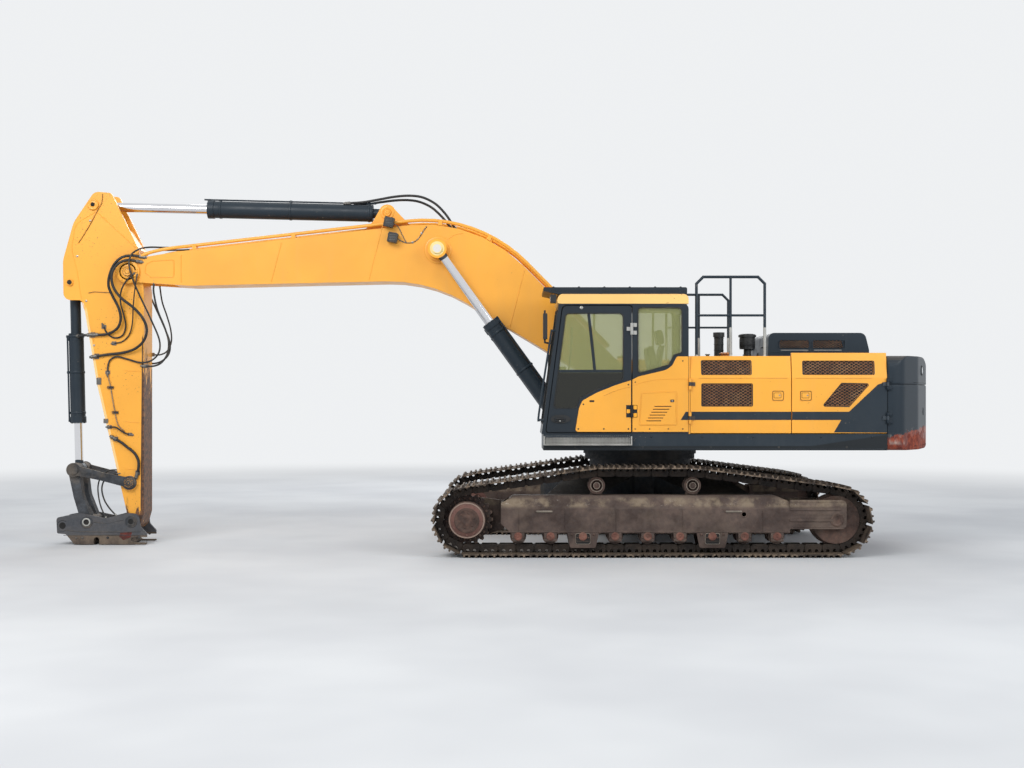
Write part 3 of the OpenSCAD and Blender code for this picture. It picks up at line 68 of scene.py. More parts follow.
lens = bpy.data.cameras.new("camera")
lens.sensor_width = 36
lens.lens = FOCAL_PX / IMAGE_W * lens.sensor_width
lens.shift_y = HORIZON_DROP_PX / IMAGE_W
lens.clip_end = 200
camera = bpy.data.objects.new("camera", lens)
camera.location = Vector(EYE) + TO_FRAME
camera.rotation_euler = (math.radians(90), 0, math.radians(180))
bpy.context.scene.collection.objects.link(camera)
bpy.context.scene.camera = camera
bpy.context.scene.view_settings.view_transform = "Standard"


def area_light(name, place, aim, size, power, color=(1, 1, 1)):
    light = bpy.data.lights.new(name, "AREA")
    light.shape = "RECTANGLE"
    light.size, light.size_y = size
    light.energy = power
    light.color = color
    holder = bpy.data.objects.new(name, light)
    holder.location = place
    holder.rotation_euler = (Vector(aim) - Vector(place)).to_track_quat("-Z", "Y").to_euler()
    bpy.context.scene.collection.objects.link(holder)


area_light("key", (7, 13, 11), (0, 0, 1.6), (9, 6), 1500, (1, 0.985, 0.96))
area_light("fill", (-11, 9, 7), (-1, 0, 1.6), (8, 6), 620, (0.96, 0.98, 1))
area_light("back", (1, -13, 10), (0, 0, 2), (12, 6), 900)


def stage_world():
    world = bpy.data.worlds.new("studio")
    bpy.context.scene.world = world
    world.use_nodes = True
    tree = world.node_tree
    tree.nodes.clear()
    path = tree.nodes.new("ShaderNodeLightPath")
    seen = path.outputs["Is Camera Ray"]
    for kind in ("Is Glossy Ray", "Is Transmission Ray"):
        either = tree.nodes.new("ShaderNodeMath")
        either.operation = "MAXIMUM"
        tree.links.new(seen, either.inputs[0])
        tree.links.new(path.outputs[kind], either.inputs[1])
        seen = either.outputs[0]
    both = tree.nodes.new("ShaderNodeMixShader")
    tree.links.new(seen, both.inputs[0])
    for socket, color, strength in ((1, (0.93, 0.96, 1, 1), 0.62), (2, BACKDROP, 1)):
        light = tree.nodes.new("ShaderNodeBackground")
        light.inputs["Color"].default_value = color
        light.inputs["Strength"].default_value = strength
        tree.links.new(light.outputs[0], both.inputs[socket])
    out = tree.nodes.new("ShaderNodeOutputWorld")
    tree.links.new(both.outputs[0], out.inputs["Surface"])


stage_world()

# Materials


def srgb(r, g, b):
    """Linear colour of a colour that is given in 0 to 255."""
    def one(c):
        c /= 255
        return c / 12.92 if c <= 0.04045 else ((c + 0.055) / 1.055) ** 2.4
    return (one(r), one(g), one(b), 1)


def dimmed(color, share):
    return tuple(c * share for c in color[:3]) + (1,)


class Shade:
    """A Principled material and the small set of nodes that its colour, gloss and bump are made with."""

    def __init__(self, name, color, rough=0.5, metal=0.0, **sockets):
        self.material = bpy.data.materials.new(name)
        self.material.use_nodes = True
        self.tree = self.material.node_tree
        self.bsdf = self.tree.nodes["Principled BSDF"]
        self.bsdf.inputs["Metallic"].default_value = metal
        self.bsdf.inputs["Roughness"].default_value = rough
        self.bsdf.inputs["Base Color"].default_value = color
        for name, value in sockets.items():
            self.bsdf.inputs[name.replace("_", " ")].default_value = value
        self.place = self.node("TexCoord").outputs["Object"]
        self.color = color
        self.material.diffuse_color = color

    def node(self, kind):
        return self.tree.nodes.new("ShaderNode" + kind)

    def link(self, value, socket):
        if isinstance(value, bpy.types.NodeSocket):
            self.tree.links.new(value, socket)
        elif hasattr(value, "__len__") and socket.type == "VECTOR":
            socket.default_value = value[:3]
        else:
            socket.default_value = value

    def noise(self, scale, detail=4, rough=0.55, stretch=(1, 1, 1), shift=(0, 0, 0)):
        mapped = self.node("Mapping")
        mapped.inputs["Scale"].default_value = stretch
        mapped.inputs["Location"].default_value = shift
        self.tree.links.new(self.place, mapped.inputs["Vector"])
        grain = self.node("TexNoise")
        grain.inputs["Scale"].default_value = scale
        grain.inputs["Detail"].default_value = detail
        grain.inputs["Roughness"].default_value = rough
        self.tree.links.new(mapped.outputs[0], grain.inputs["Vector"])
        return grain.outputs["Fac"]

    def step(self, value, low, high, a=0.0, b=1.0):
        """a below low, b above high, smooth between."""
        node = self.node("MapRange")
        node.interpolation_type = "SMOOTHSTEP"
        self.link(value, node.inputs["Value"])
        for name, number in (("From Min", low), ("From Max", high), ("To Min", a), ("To Max", b)):
            node.inputs[name].default_value = number
        return node.outputs["Result"]

    def math(self, kind, a, b=0.0):
        node = self.node("Math")
        node.operation = kind
        node.use_clamp = kind in ("ADD", "MULTIPLY", "SUBTRACT")
        self.link(a, node.inputs[0])
        self.link(b, node.inputs[1])
        return node.outputs[0]

    def both(self, a, b):
        return self.math("MULTIPLY", a, b)

    def most(self, a, b):
        return self.math("MAXIMUM", a, b)

    def line(self, value, slope, offset):
        """value times slope plus offset, where the offset may be another value."""
        node = self.node("Math")
        node.operation = "MULTIPLY_ADD"
        for socket, number in zip(node.inputs, (value, slope, offset)):
            self.link(number, socket)
        return node.outputs[0]

    def between(self, value, low, high, soft=0.004):
        """1 from low to high, and 0 outside."""
        above = self.step(value, low - soft, low + soft)
        return self.both(above, self.step(value, high - soft, high + soft, 1, 0))

    def from_point(self, x, z):
        """Distance from a line along y through a point given from the slew axis."""
        flat = self.node("CombineXYZ")
        self.tree.links.new(self.axis(0), flat.inputs[0])
        self.tree.links.new(self.axis(2), flat.inputs[2])
        node = self.node("VectorMath")
        node.operation = "DISTANCE"
        self.tree.links.new(flat.outputs[0], node.inputs[0])
        node.inputs[1].default_value = (x - SLEW_X, 0, z)
        return node.outputs["Value"]

    def axis(self, index):
        node = self.node("SeparateXYZ")
        self.tree.links.new(self.place, node.inputs[0])
        return node.outputs[index]

    def blend(self, fac, a, b):
        node = self.node("Mix")
        node.data_type = "RGBA"
        self.link(fac, node.inputs[0])
        self.link(a, node.inputs[6])
        self.link(b, node.inputs[7])
        return node.outputs[2]

    def facing_up(self, low=0.3, high=0.9):
        geometry = self.node("NewGeometry")
        node = self.node("SeparateXYZ")
        self.tree.links.new(geometry.outputs["Normal"], node.inputs[0])
        return self.step(node.outputs[2], low, high)

    def finish(self, color=None, rough=None, bump=None, height=0.002, strength=0.35, edge=0.0):
        if color is not None:
            self.link(color, self.bsdf.inputs["Base Color"])
        if rough is not None:
            self.link(rough, self.bsdf.inputs["Roughness"])
        normal = None
        if edge:
            round_edge = self.node("Bevel")
            round_edge.samples = 4
            round_edge.inputs["Radius"].default_value = edge
            normal = round_edge.outputs[0]
        if bump is not None:
            node = self.node("Bump")
            node.inputs["Strength"].default_value = strength
            node.inputs["Distance"].default_value = height
            self.tree.links.new(bump, node.inputs["Height"])
            if normal is not None:
                self.tree.links.new(normal, node.inputs["Normal"])
            normal = node.outputs[0]
        if normal is not None:
            self.tree.links.new(normal, self.bsdf.inputs["Normal"])
        return self.material


def paint(name, base, dust, wear, dirt=0.35, low=0.0, high=1.2, rough=0.42, chips=0.66, streaks=0.5,
        edge=0.006, marks=None, coat=0.25, shine=0.5):
    """Sprayed paint: slow colour drift, run-down dirt, dust that thickens downwards, small chips."""
    s = Shade(name, base, rough, Coat_Weight=coat, Coat_Roughness=0.2, Specular_IOR_Level=shine)
    drift = s.step(s.noise(0.9, 3), 0.3, 0.7)
    deep = dimmed(base, 0.86)
    color = s.blend(drift, deep, base)
    runs = s.noise(2.2, 5, 0.6, stretch=(4.5, 4.5, 0.35))
    color = s.blend(s.step(runs, 0.5, 0.78, 0, dirt * streaks), color, dust)
    fog = s.both(s.step(s.axis(2), low, high, dirt, dirt * 0.12),
        s.step(s.noise(3.1, 6, 0.65), 0.35, 0.7, 0.3, 1))
    color = s.blend(fog, color, dust)
    color = s.blend(s.both(s.facing_up(), dirt * 0.9), color, dust)
    specks = s.step(s.noise(38, 3, 0.6), chips, chips + 0.03)
    patch = s.step(s.noise(1.7, 4), 0.5, 0.66)
    color = s.blend(s.both(specks, patch), color, wear)
    if marks:
        color = marks(s, color)
    gloss = s.step(s.noise(5, 4), 0.3, 0.8, rough - 0.07, rough + 0.16)
    fine = s.noise(210, 2, 0.5)
    return s.finish(color, gloss, fine, 0.0006, 0.12, edge)


def grimy(name, light, dark, dusty, rough=0.72, metal=0.25, dust=0.6, scale=4.0, edge=0.005, marks=None):
    """Bare or long-worn steel: rust and dried mud in patches over a rough skin."""
    s = Shade(name, light, rough, metal)
    broad = s.step(s.noise(scale, 6, 0.65), 0.35, 0.68)
    color = s.blend(broad, dark, light)
    small = s.step(s.noise(scale * 7, 5, 0.7), 0.42, 0.62)
    color = s.blend(s.both(small, 0.55), color, dark)
    mud = s.step(s.noise(scale * 0.7, 5, 0.6, shift=(3, 1, 7)), 0.46, 0.66, 0, dust)
    color = s.blend(mud, color, dusty)
    color = s.blend(s.both(s.facing_up(), dust), color, dusty)
    if marks:
        color = marks(s, color)
    skin = s.noise(scale * 14, 6, 0.7)
    gloss = s.step(small, 0, 1, rough + 0.12, rough - 0.1)
    return s.finish(color, gloss, skin, 0.004, 0.5, edge)


ORANGE = srgb(247, 172, 52)
SLATE = srgb(31, 43, 53)
DUST = srgb(168, 146, 118)
RUST = srgb(112, 66, 40)


def hinge_marks(s, color):
    """Side doors: slate knuckles at the rear hinges, painted shade over the front ones, outside the wall's
    plane.
    """
    outside = s.step(s.math("ABSOLUTE", s.axis(1)), 1.4902, 1.491)
    x = s.axis(0)
    rear = s.step(x, -2.705 - SLEW_X, -2.695 - SLEW_X, 1, 0)
    front = s.step(x, -0.525 - SLEW_X, -0.515 - SLEW_X)
    color = s.blend(s.both(outside, rear), color, SLATE)
    # Near black over the front hinges: painted shade in the gap beside the cab
    return s.blend(s.both(outside, front), color, srgb(46, 42, 38))


def deck_shade_marks(s, color):
    """Painted shade: a darker band along the deck's lower edge, which climbs towards the tail."""
    low = s.step(s.axis(2), 1.292, 1.306, 1, 0)
    climb = s.step(s.line(s.axis(0), 0.15, s.axis(2)), 0.716, 0.738, 1, 0)
    return s.blend(s.most(low, climb), color, srgb(25, 30, 34))


def beam_dust_and_highlight(s, color):
    """Dried dust along the beam's shoulder, which also paints the highlight on its bevel, and pale streaks of
    painted highlight.
    """
    z = s.axis(2)
    band = s.both(s.between(z, 0.585, 0.69, 0.02), s.step(s.noise(5, 5, 0.65), 0.4, 0.62))
    color = s.blend(s.both(band, 0.6), color, srgb(150, 134, 112))
    # Pale streaks along the shoulder's bevel: painted highlight
    streak_noise = s.step(s.noise(26, 6, 0.75, stretch=(0.35, 1, 1.4)), 0.62, 0.68)
    return s.blend(s.both(streak_noise, s.between(z, 0.6, 0.67, 0.02)), color, srgb(206, 198, 188))


def shoe_marks(s, color):
    """Grouser tips and shoe ends rubbed lighter, seen as a dry edge."""
    worn = s.step(s.noise(11, 6, 0.7), 0.45, 0.6)
    ends = s.step(s.math("ABSOLUTE", s.line(s.math("ABSOLUTE", s.axis(1)), 1.0, -1.37)), 0.28, 0.3)
    return s.blend(s.both(s.both(worn, ends), 0.7), color, srgb(140, 122, 104))


def disc_marks(s, color):
    """Final drive: reddish disc, a lighter machined rim and a dark ring at the teeth's bolts."""
    away = s.from_point(2.17, 0.43)
    color = s.blend(s.step(away, 0.188, 0.194, 0.55, 0), color, srgb(132, 92, 84))
    color = s.blend(s.both(s.between(away, 0.195, 0.211, 0.003), 0.75), color, srgb(160, 138, 126))
    return s.blend(s.both(s.between(away, 0.2155, 0.29, 0.003), 0.8), color, srgb(44, 34, 31))


def cab_marks(s, color):
    """Door hinges: black knuckles between orange leaves below, and bare metal ones above."""
    off = s.math("ABSOLUTE", s.line(s.axis(0), 1, SLEW_X - 0.231))
    near = s.both(s.step(s.axis(1), 1.4904, 1.4912), s.step(off, 0.09, 0.1, 1, 0))
    low = s.both(near, s.between(s.axis(2), 1.59, 1.81))
    color = s.blend(low, color, s.blend(s.step(off, 0.018, 0.022), srgb(28, 28, 30), ORANGE))
    return s.blend(s.both(near, s.step(s.axis(2), 2.5, 2.52)), color, srgb(168, 168, 164))


def coupler_marks(s, color):
    """The coupler's upper half keeps its bluish paint."""
    upper = s.step(s.axis(2), 0.116, 0.128)
    return s.blend(s.both(upper, 0.7), color, srgb(76, 82, 90))


orange = paint("orange_paint", ORANGE, srgb(206, 158, 92), RUST, dirt=0.22, chips=0.7)
# The cab roof's paint is the body's orange made paler: painted light on the roof
lit_roof_orange = paint("roof_orange_lit", srgb(250, 200, 118), srgb(214, 170, 110), RUST, dirt=0.2)
orange_door = paint("orange_door", ORANGE, srgb(206, 158, 92), RUST, dirt=0.22, chips=0.7, marks=hinge_marks)
slate = paint("slate_paint", SLATE, srgb(96, 98, 98), srgb(110, 104, 94), dirt=0.12, low=1.0, high=2.2,
    rough=0.42, coat=0.03, shine=0.28)
slate_deck = paint("slate_deck", SLATE, srgb(96, 98, 98), srgb(110, 104, 94), dirt=0.12, low=1.0, high=2.2,
    rough=0.45, marks=deck_shade_marks, coat=0.03, shine=0.28)
slate_cab = paint("slate_cab", srgb(31, 40, 48), srgb(90, 92, 92), srgb(90, 92, 92), dirt=0.06, rough=0.38,
    marks=cab_marks, coat=0.03, shine=0.3)
beam_steel = grimy("beam_steel", srgb(104, 88, 80), srgb(58, 46, 42), srgb(128, 112, 98), dust=0.3,
    scale=2.6, marks=beam_dust_and_highlight)
track_steel = grimy("track_steel", srgb(84, 72, 64), srgb(44, 37, 33), srgb(120, 104, 86), dust=0.35,
    scale=6, marks=shoe_marks)
chain_steel = grimy("chain_steel", srgb(52, 42, 35), srgb(28, 22, 19), srgb(84, 70, 58), dust=0.2, scale=6)
drive_steel = grimy("drive_steel", srgb(104, 80, 70), srgb(58, 44, 39), srgb(122, 106, 92), dust=0.3, scale=5)
disc_steel = grimy("disc_steel", srgb(104, 80, 70), srgb(58, 44, 39), srgb(122, 106, 92), dust=0.3, scale=5,
    marks=disc_marks)
roller_rust = grimy("roller_rust", srgb(140, 92, 78), srgb(88, 56, 48), srgb(132, 112, 96), dust=0.25,
    scale=12)
linkage_steel = grimy("linkage_steel", srgb(86, 90, 96), srgb(46, 48, 52), srgb(126, 114, 100), dust=0.45,
    scale=5)
coupler_steel = grimy("coupler_steel", srgb(112, 98, 86), srgb(60, 52, 47), srgb(132, 116, 98), dust=0.45,
    scale=6, marks=coupler_marks)
frame_dark = grimy("frame_dark", srgb(44, 50, 56), srgb(26, 29, 33), srgb(92, 84, 74), dust=0.35, scale=3,
    metal=0)


def worn_arm():
    """The arm's paint: as the body's, with a scraped and rusted rear face and lower end."""
    s = Shade("orange_arm", ORANGE, 0.45, Coat_Weight=0.2, Coat_Roughness=0.25)
    drift = s.step(s.noise(0.9, 3), 0.3, 0.7)
    color = s.blend(drift, dimmed(ORANGE, 0.88), ORANGE)
    x, z = s.axis(0), s.axis(2)
    # Distance along x that grows towards the front, level with the seam down the arm's rear side
    across = s.line(z, 0.0085, x)
    seam = 6.361 - SLEW_X
    rear = s.step(across, seam - 0.015, seam + 0.015, 1, 0)
    below = s.step(z, 0.9, 3.2, 1, 0)
    lowest = s.step(z, 0.3, 0.6, 0.7, 0)
    worn = s.most(s.both(rear, below), s.most(lowest, s.both(below, 0.12)))
    streak_noise = s.noise(9, 7, 0.72, stretch=(1.6, 1.6, 0.45))
    ragged = s.math("ADD", streak_noise, s.both(worn, 0.46))
    mask = s.both(s.step(ragged, 0.64, 0.74), s.step(worn, 0.02, 0.3))
    color = s.blend(mask, color, s.blend(s.step(s.noise(22, 5, 0.7), 0.4, 0.6), srgb(62, 43, 32),
        srgb(116, 76, 48)))
    line = s.both(s.between(across, seam - 0.008, seam + 0.008), s.between(z, 0.45, 2.65, 0.03))
    color = s.blend(line, color, srgb(70, 44, 30))
    # A pale band along the front edge: a painted highlight where the front flange catches the light
    pale = s.most(s.step(s.line(z, -0.2319, x), 4.4897, 4.4977),
        s.step(s.line(z, -0.1667, x), 4.6228, 4.6308))
    pale = s.both(pale, s.between(z, 0.95, 3.0, 0.05))
    color = s.blend(s.both(pale, 0.7), color, srgb(255, 215, 150))
    specks = s.both(s.step(s.noise(46, 4, 0.6), 0.63, 0.67), s.step(s.noise(2.0, 4), 0.45, 0.6))
    color = s.blend(specks, color, RUST)
    gloss = s.step(mask, 0, 1, 0.42, 0.8)
    return s.finish(color, gloss, s.noise(60, 5, 0.65), 0.0015, 0.25, 0.006)


def scraped_tail():
    """The counterweight's paint, scratched low on its left rear corner down to red primer and bare metal."""
    s = Shade("slate_tail", SLATE, 0.42, Specular_IOR_Level=0.28)
    drift = s.step(s.noise(0.9, 4), 0.3, 0.7)
    color = s.blend(drift, srgb(26, 37, 46), SLATE)
    x, y, z = s.axis(0), s.axis(1), s.axis(2)
    corner = s.both(s.step(x, -3.28 - SLEW_X, -2.72 - SLEW_X, 1, 0.25), s.step(z, 1.28, 1.66, 1, 0))
    corner = s.both(corner, s.step(y, 0.1, 0.8))
    ragged = s.math("ADD", s.noise(7, 7, 0.7, stretch=(0.7, 1, 1.3)), s.both(corner, 0.42))
    red = s.step(ragged, 0.74, 0.8)
    color = s.blend(red, color, s.blend(s.step(s.noise(16, 6, 0.7), 0.4, 0.62), srgb(106, 40, 28),
        srgb(158, 78, 50)))
    bare = s.both(s.step(s.noise(24, 6, 0.75, shift=(4, 2, 1)), 0.6, 0.66), s.step(corner, 0.15, 0.5))
    color = s.blend(bare, color, srgb(196, 192, 186))
    # Red primer along the foot, which climbs towards the rear corner, and a pale smear at its front
    foot = s.both(s.step(s.line(x, 0.25, z), 0.17, 0.3, 1, 0), s.step(z, 1.46, 1.6, 1, 0))
    foot = s.math("ADD", s.noise(8, 7, 0.7, shift=(2, 5, 3)), s.both(foot, 0.5))
    foot = s.step(foot, 0.8, 0.88)
    color = s.blend(foot, color, s.blend(s.step(s.noise(16, 6, 0.7), 0.4, 0.62), srgb(98, 38, 28),
        srgb(146, 70, 48)))
    patch = s.both(s.between(x, -3.0 - SLEW_X, -2.79 - SLEW_X, 0.02), s.between(z, 1.32, 1.43, 0.02))
    patch = s.both(patch, s.step(s.noise(9, 3, 0.5, stretch=(1.6, 1, 0.7)), 0.38, 0.7, 0, 0.8))
    color = s.blend(patch, color, srgb(176, 166, 156))
    scratch = s.step(s.noise(7, 5, 0.7, stretch=(9, 9, 0.7)), 0.64, 0.72)
    scratch = s.both(scratch, s.both(s.step(z, 1.4, 2.1, 0.8, 0), s.step(y, 0.2, 1.0)))
    color = s.blend(s.both(scratch, 0.7), color, srgb(112, 116, 118))
    dusty = s.both(s.facing_up(), 0.12)
    color = s.blend(dusty, color, DUST)
    gloss = s.step(s.most(red, bare), 0, 1, 0.42, 0.78)
    return s.finish(color, gloss, s.noise(140, 3, 0.5), 0.0008, 0.15, 0.04)


orange_arm = worn_arm()
slate_tail = scraped_tail()


def plain(name, color, rough, metal=0.0, spread=0.25, grain=180, height=0.0008, strength=0.25, edge=0.0,
        **sockets):
    """One finish with a little drift in its colour and gloss and a fine skin."""
    s = Shade(name, color, rough, metal, **sockets)
    dim = dimmed(color, 1 - spread)
    hue = s.blend(s.step(s.noise(6, 5, 0.6), 0.3, 0.72), dim, color)
    hue = s.blend(s.both(s.step(s.noise(2.3, 6, 0.7), 0.5, 0.75), 0.25), hue, srgb(128, 116, 100))
    gloss = s.step(s.noise(14, 4), 0.3, 0.75, max(0.02, rough - 0.06), min(1, rough + 0.12))
    return s.finish(hue, gloss, s.noise(grain, 3, 0.6), height, strength, edge)


zinc = plain("zinc", srgb(176, 176, 172), 0.34, 0.9, spread=0.3)
scraped = plain("scraped_steel", srgb(156, 146, 134), 0.42, 0.6, spread=0.45, grain=60)
step_metal = plain("step_metal", srgb(180, 179, 174), 0.45, 0.3, spread=0.25)
fitting_steel = plain("fitting_steel", srgb(122, 120, 116), 0.38, 0.8, spread=0.35)
rubber = plain("rubber", srgb(30, 31, 32), 0.55, spread=0.35, grain=300)
plastic = plain("black_plastic", srgb(26, 28, 30), 0.48, spread=0.3, grain=420)
interior = plain("cab_lining", srgb(58, 60, 62), 0.62, spread=0.2, grain=300)
# Near black, set in openings, slots and recesses as painted shade
shade_fill = plain("radiator", srgb(20, 19, 18), 0.8, spread=0.4, grain=90)
mesh_brown = grimy("grille_brown", srgb(190, 132, 88), srgb(134, 88, 58), srgb(204, 162, 116), dust=0.4,
    scale=9, metal=0)
cap_orange = plain("cap_orange", srgb(196, 120, 62), 0.5, spread=0.3)
seat_cloth = plain("seat_cloth", srgb(44, 46, 50), 0.85, spread=0.3, grain=520, height=0.002, strength=0.5,
    Sheen_Weight=0.35)
lamp_lens = plain("lamp_lens", srgb(214, 220, 222), 0.12, spread=0.08, grain=60)
block_grey = grimy("engine_block", srgb(86, 84, 80), srgb(44, 44, 44), srgb(110, 96, 80), scale=6)
mirror_face = plain("mirror_face", srgb(205, 212, 216), 0.05, 1.0, spread=0.03, grain=10, height=0.0001,
    strength=0.02)


def glass_pane(name):
    """Tinted glass, see-through above the door's bar and nearly black below it, which is painted shade."""
    s = Shade(name, srgb(150, 156, 104), 0.03)
    s.bsdf.inputs["Specular IOR Level"].default_value = 0.55
    # The pale yellow-green above the bar is a painted reflection, and the near black below is painted shade
    upper = s.step(s.axis(2), 2.15, 2.21)
    s.link(s.step(upper, 0, 1, 0.9, 0.4), s.bsdf.inputs["Alpha"])
    film = s.step(s.noise(2.5, 5, 0.6), 0.35, 0.75, 0.03, 0.14)
    return s.finish(s.blend(upper, srgb(24, 25, 17), srgb(160, 164, 108)), film)


def rod_chrome(name):
    """Hard chrome rods, whose welded eyes are painted as the barrels are."""
    s = Shade(name, srgb(222, 222, 224), 0.09, 1.0)
    away = s.from_point(*BOOM_EYE)
    eye = s.step(away, 0.158, 0.162, 1, 0)
    for place in (ARM_EYE, LINK_PIN):
        eye = s.most(eye, s.step(s.from_point(*place), 0.12, 0.124, 1, 0))
    color = s.blend(eye, srgb(222, 222, 224), SLATE)
    color = s.blend(s.step(away, 0.119, 0.121, 1, 0), color, ORANGE)
    color = s.blend(s.step(away, 0.0885, 0.0905, 1, 0), color, srgb(236, 214, 150))
    color = s.blend(s.step(away, 0.051, 0.053, 1, 0), color, srgb(214, 210, 204))
    s.link(s.step(eye, 0, 1, 1, 0.1), s.bsdf.inputs["Metallic"])
    return s.finish(color, s.step(eye, 0, 1, 0.09, 0.42), s.noise(40, 3, 0.6), 0.0001, 0.05)


def tread_plate(name):
    """The steps' bare metal, with the painted deck edge above it."""
    s = Shade(name, srgb(208, 206, 200), 0.42, 0.3)
    tone = s.blend(s.step(s.noise(6, 5, 0.6), 0.3, 0.72), srgb(138, 137, 132), srgb(180, 178, 172))
    tone = s.blend(s.step(s.axis(2), 1.383, 1.387), tone, SLATE)
    return s.finish(tone, None, s.noise(180, 3, 0.6), 0.0008, 0.25)


# Pins of the working gear, the angle of the boom's pin line, and half the width of the two side plates
FOOT, NOSE, TIP = (0.19, 1.95), (6.5104, 3.46739), (6.47168, 0.29763)
BOOM_ANGLE = 13.5
BOOM_CYL_FOOT, BOOM_EYE = (0.96, 1.5), (2.58034, 3.74357)
ARM_CYL_FOOT, ARM_EYE = (3.23472, 4.23491), (6.96591, 4.32489)
TIP_CYL_FOOT, LINK_PIN, ROCKER_PIN = (7.26286, 3.33619), (7.20576, 0.95337), (6.49768, 0.788595)
COUPLER_PIN = (7.03763, 0.290717)
BOOM_HALF, ARM_HALF = 0.24, 0.2

glass = glass_pane("window_glass")
rod = rod_chrome("rod_chrome")
lamp_dark = plain("lamp_glass", srgb(58, 60, 62), 0.14, spread=0.3, grain=60)
treads = tread_plate("step_plate")

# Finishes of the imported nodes
finishes = {
    "car_body": frame_dark, "revolving_frame": frame_dark, "deck": slate_deck, "steps": treads,
    "engine": block_grey, "counterweight": slate_tail, "body_walls": orange, "body_top": slate,
    "side_door_front": orange_door, "side_door_rear": orange_door, "pump_door": orange_door, "hood": slate,
    "air_cleaner": plastic, "tank": orange, "toolbox": orange, "cab": slate_cab, "cab_roof": lit_roof_orange,
    "roof_guard": slate_cab, "cab_glass": glass, "cab_door": slate_cab, "door_glass": glass,
    "seat": seat_cloth,
    "controls": interior, "mirrors": plastic, "handrails": slate, "boom": orange, "boom_lamps": plastic,
    "cab_panel": orange, "door_panel": orange, "boom_pipes": orange,
    "arm": orange_arm, "coupler": coupler_steel, "rocker": linkage_steel, "link": linkage_steel,
}
for side in ("left", "right"):
    finishes.update({
        "beam_" + side: beam_steel, "track_" + side: track_steel, "drive_" + side: disc_steel,
        "idler_" + side: drive_steel, "rollers_" + side: beam_steel,
        "boom_barrel_" + side: slate, "boom_rod_" + side: rod,
    })
for name in ("arm", "tip"):
    finishes.update({name + "_barrel": slate, name + "_rod": rod})
for name, node in NODES.items():
    for holder in node.material_slots:
        holder.material = finishes[name]
    if not node.material_slots:
        node.data.materials.append(finishes[name])


# Shapes of the added pieces, in metres from the slew axis


def smooth_path(points, steps=6):
    """Points on a smooth curve through the given points."""
    p = [Vector(q) for q in points]
    p = [2 * p[0] - p[1]] + p + [2 * p[-1] - p[-2]]
    line = []
    for a, b, c, d in zip(p, p[1:], p[2:], p[3:]):
        for k in range(steps):
            t = k / steps
            line.append(b + 0.5 * t * (c - a + t * (2 * a - 5 * b + 4 * c - d + t * (3 * b - a - 3 * c + d))))
    return line + [p[-2]]


def rounded(rows, steps=4):
    """A closed outline from rows of two coordinates and a corner radius."""
    outline = []
    n = len(rows)
    for i, (u, v, r) in enumerate(rows):
        b = Vector((u, v))
        before = (Vector(rows[i - 1][:2]) - b).normalized()
        after = (Vector(rows[(i + 1) % n][:2]) - b).normalized()
        if r <= 0:
            outline.append(b)
            continue
        half = before.angle(after) / 2
        hub = b + (before + after).normalized() * r / math.sin(half)
        first = b + before * r / math.tan(half) - hub
        last = b + after * r / math.tan(half) - hub
        sweep = first.angle_signed(last)
        for k in range(steps + 1):
            turn = Matrix.Rotation(-sweep * k / steps, 2)
            outline.append(hub + turn @ first)
    return outline


def spanned(direction):
    """A direction's unit vector and two unit vectors across it."""
    axis = Vector(direction).normalized()
    side = axis.orthogonal().normalized()
    return axis, side, axis.cross(side)


def circle(hub, side, other, r, n, start=0.0):
    turns = (start + 2 * math.pi * k / n for k in range(n))
    return [hub + (side * math.cos(a) + other * math.sin(a)) * r for a in turns]


def lid(r, low, high):
    """Rows of a flat disc for Piece.turned."""
    return [(r, low), (r, high), (0.0004, high)]


def rect(u0, u1, v0, v1, *r):
    """Rows of a rectangle, with a corner radius if one is given."""
    return [(u0, v0, *r), (u1, v0, *r), (u1, v1, *r), (u0, v1, *r)]


def oval(u, v, a, b, n=28):
    turns = np.linspace(0, 2 * math.pi, n, endpoint=False)
    return [Vector((u + a * math.cos(t), v + b * math.sin(t))) for t in turns]


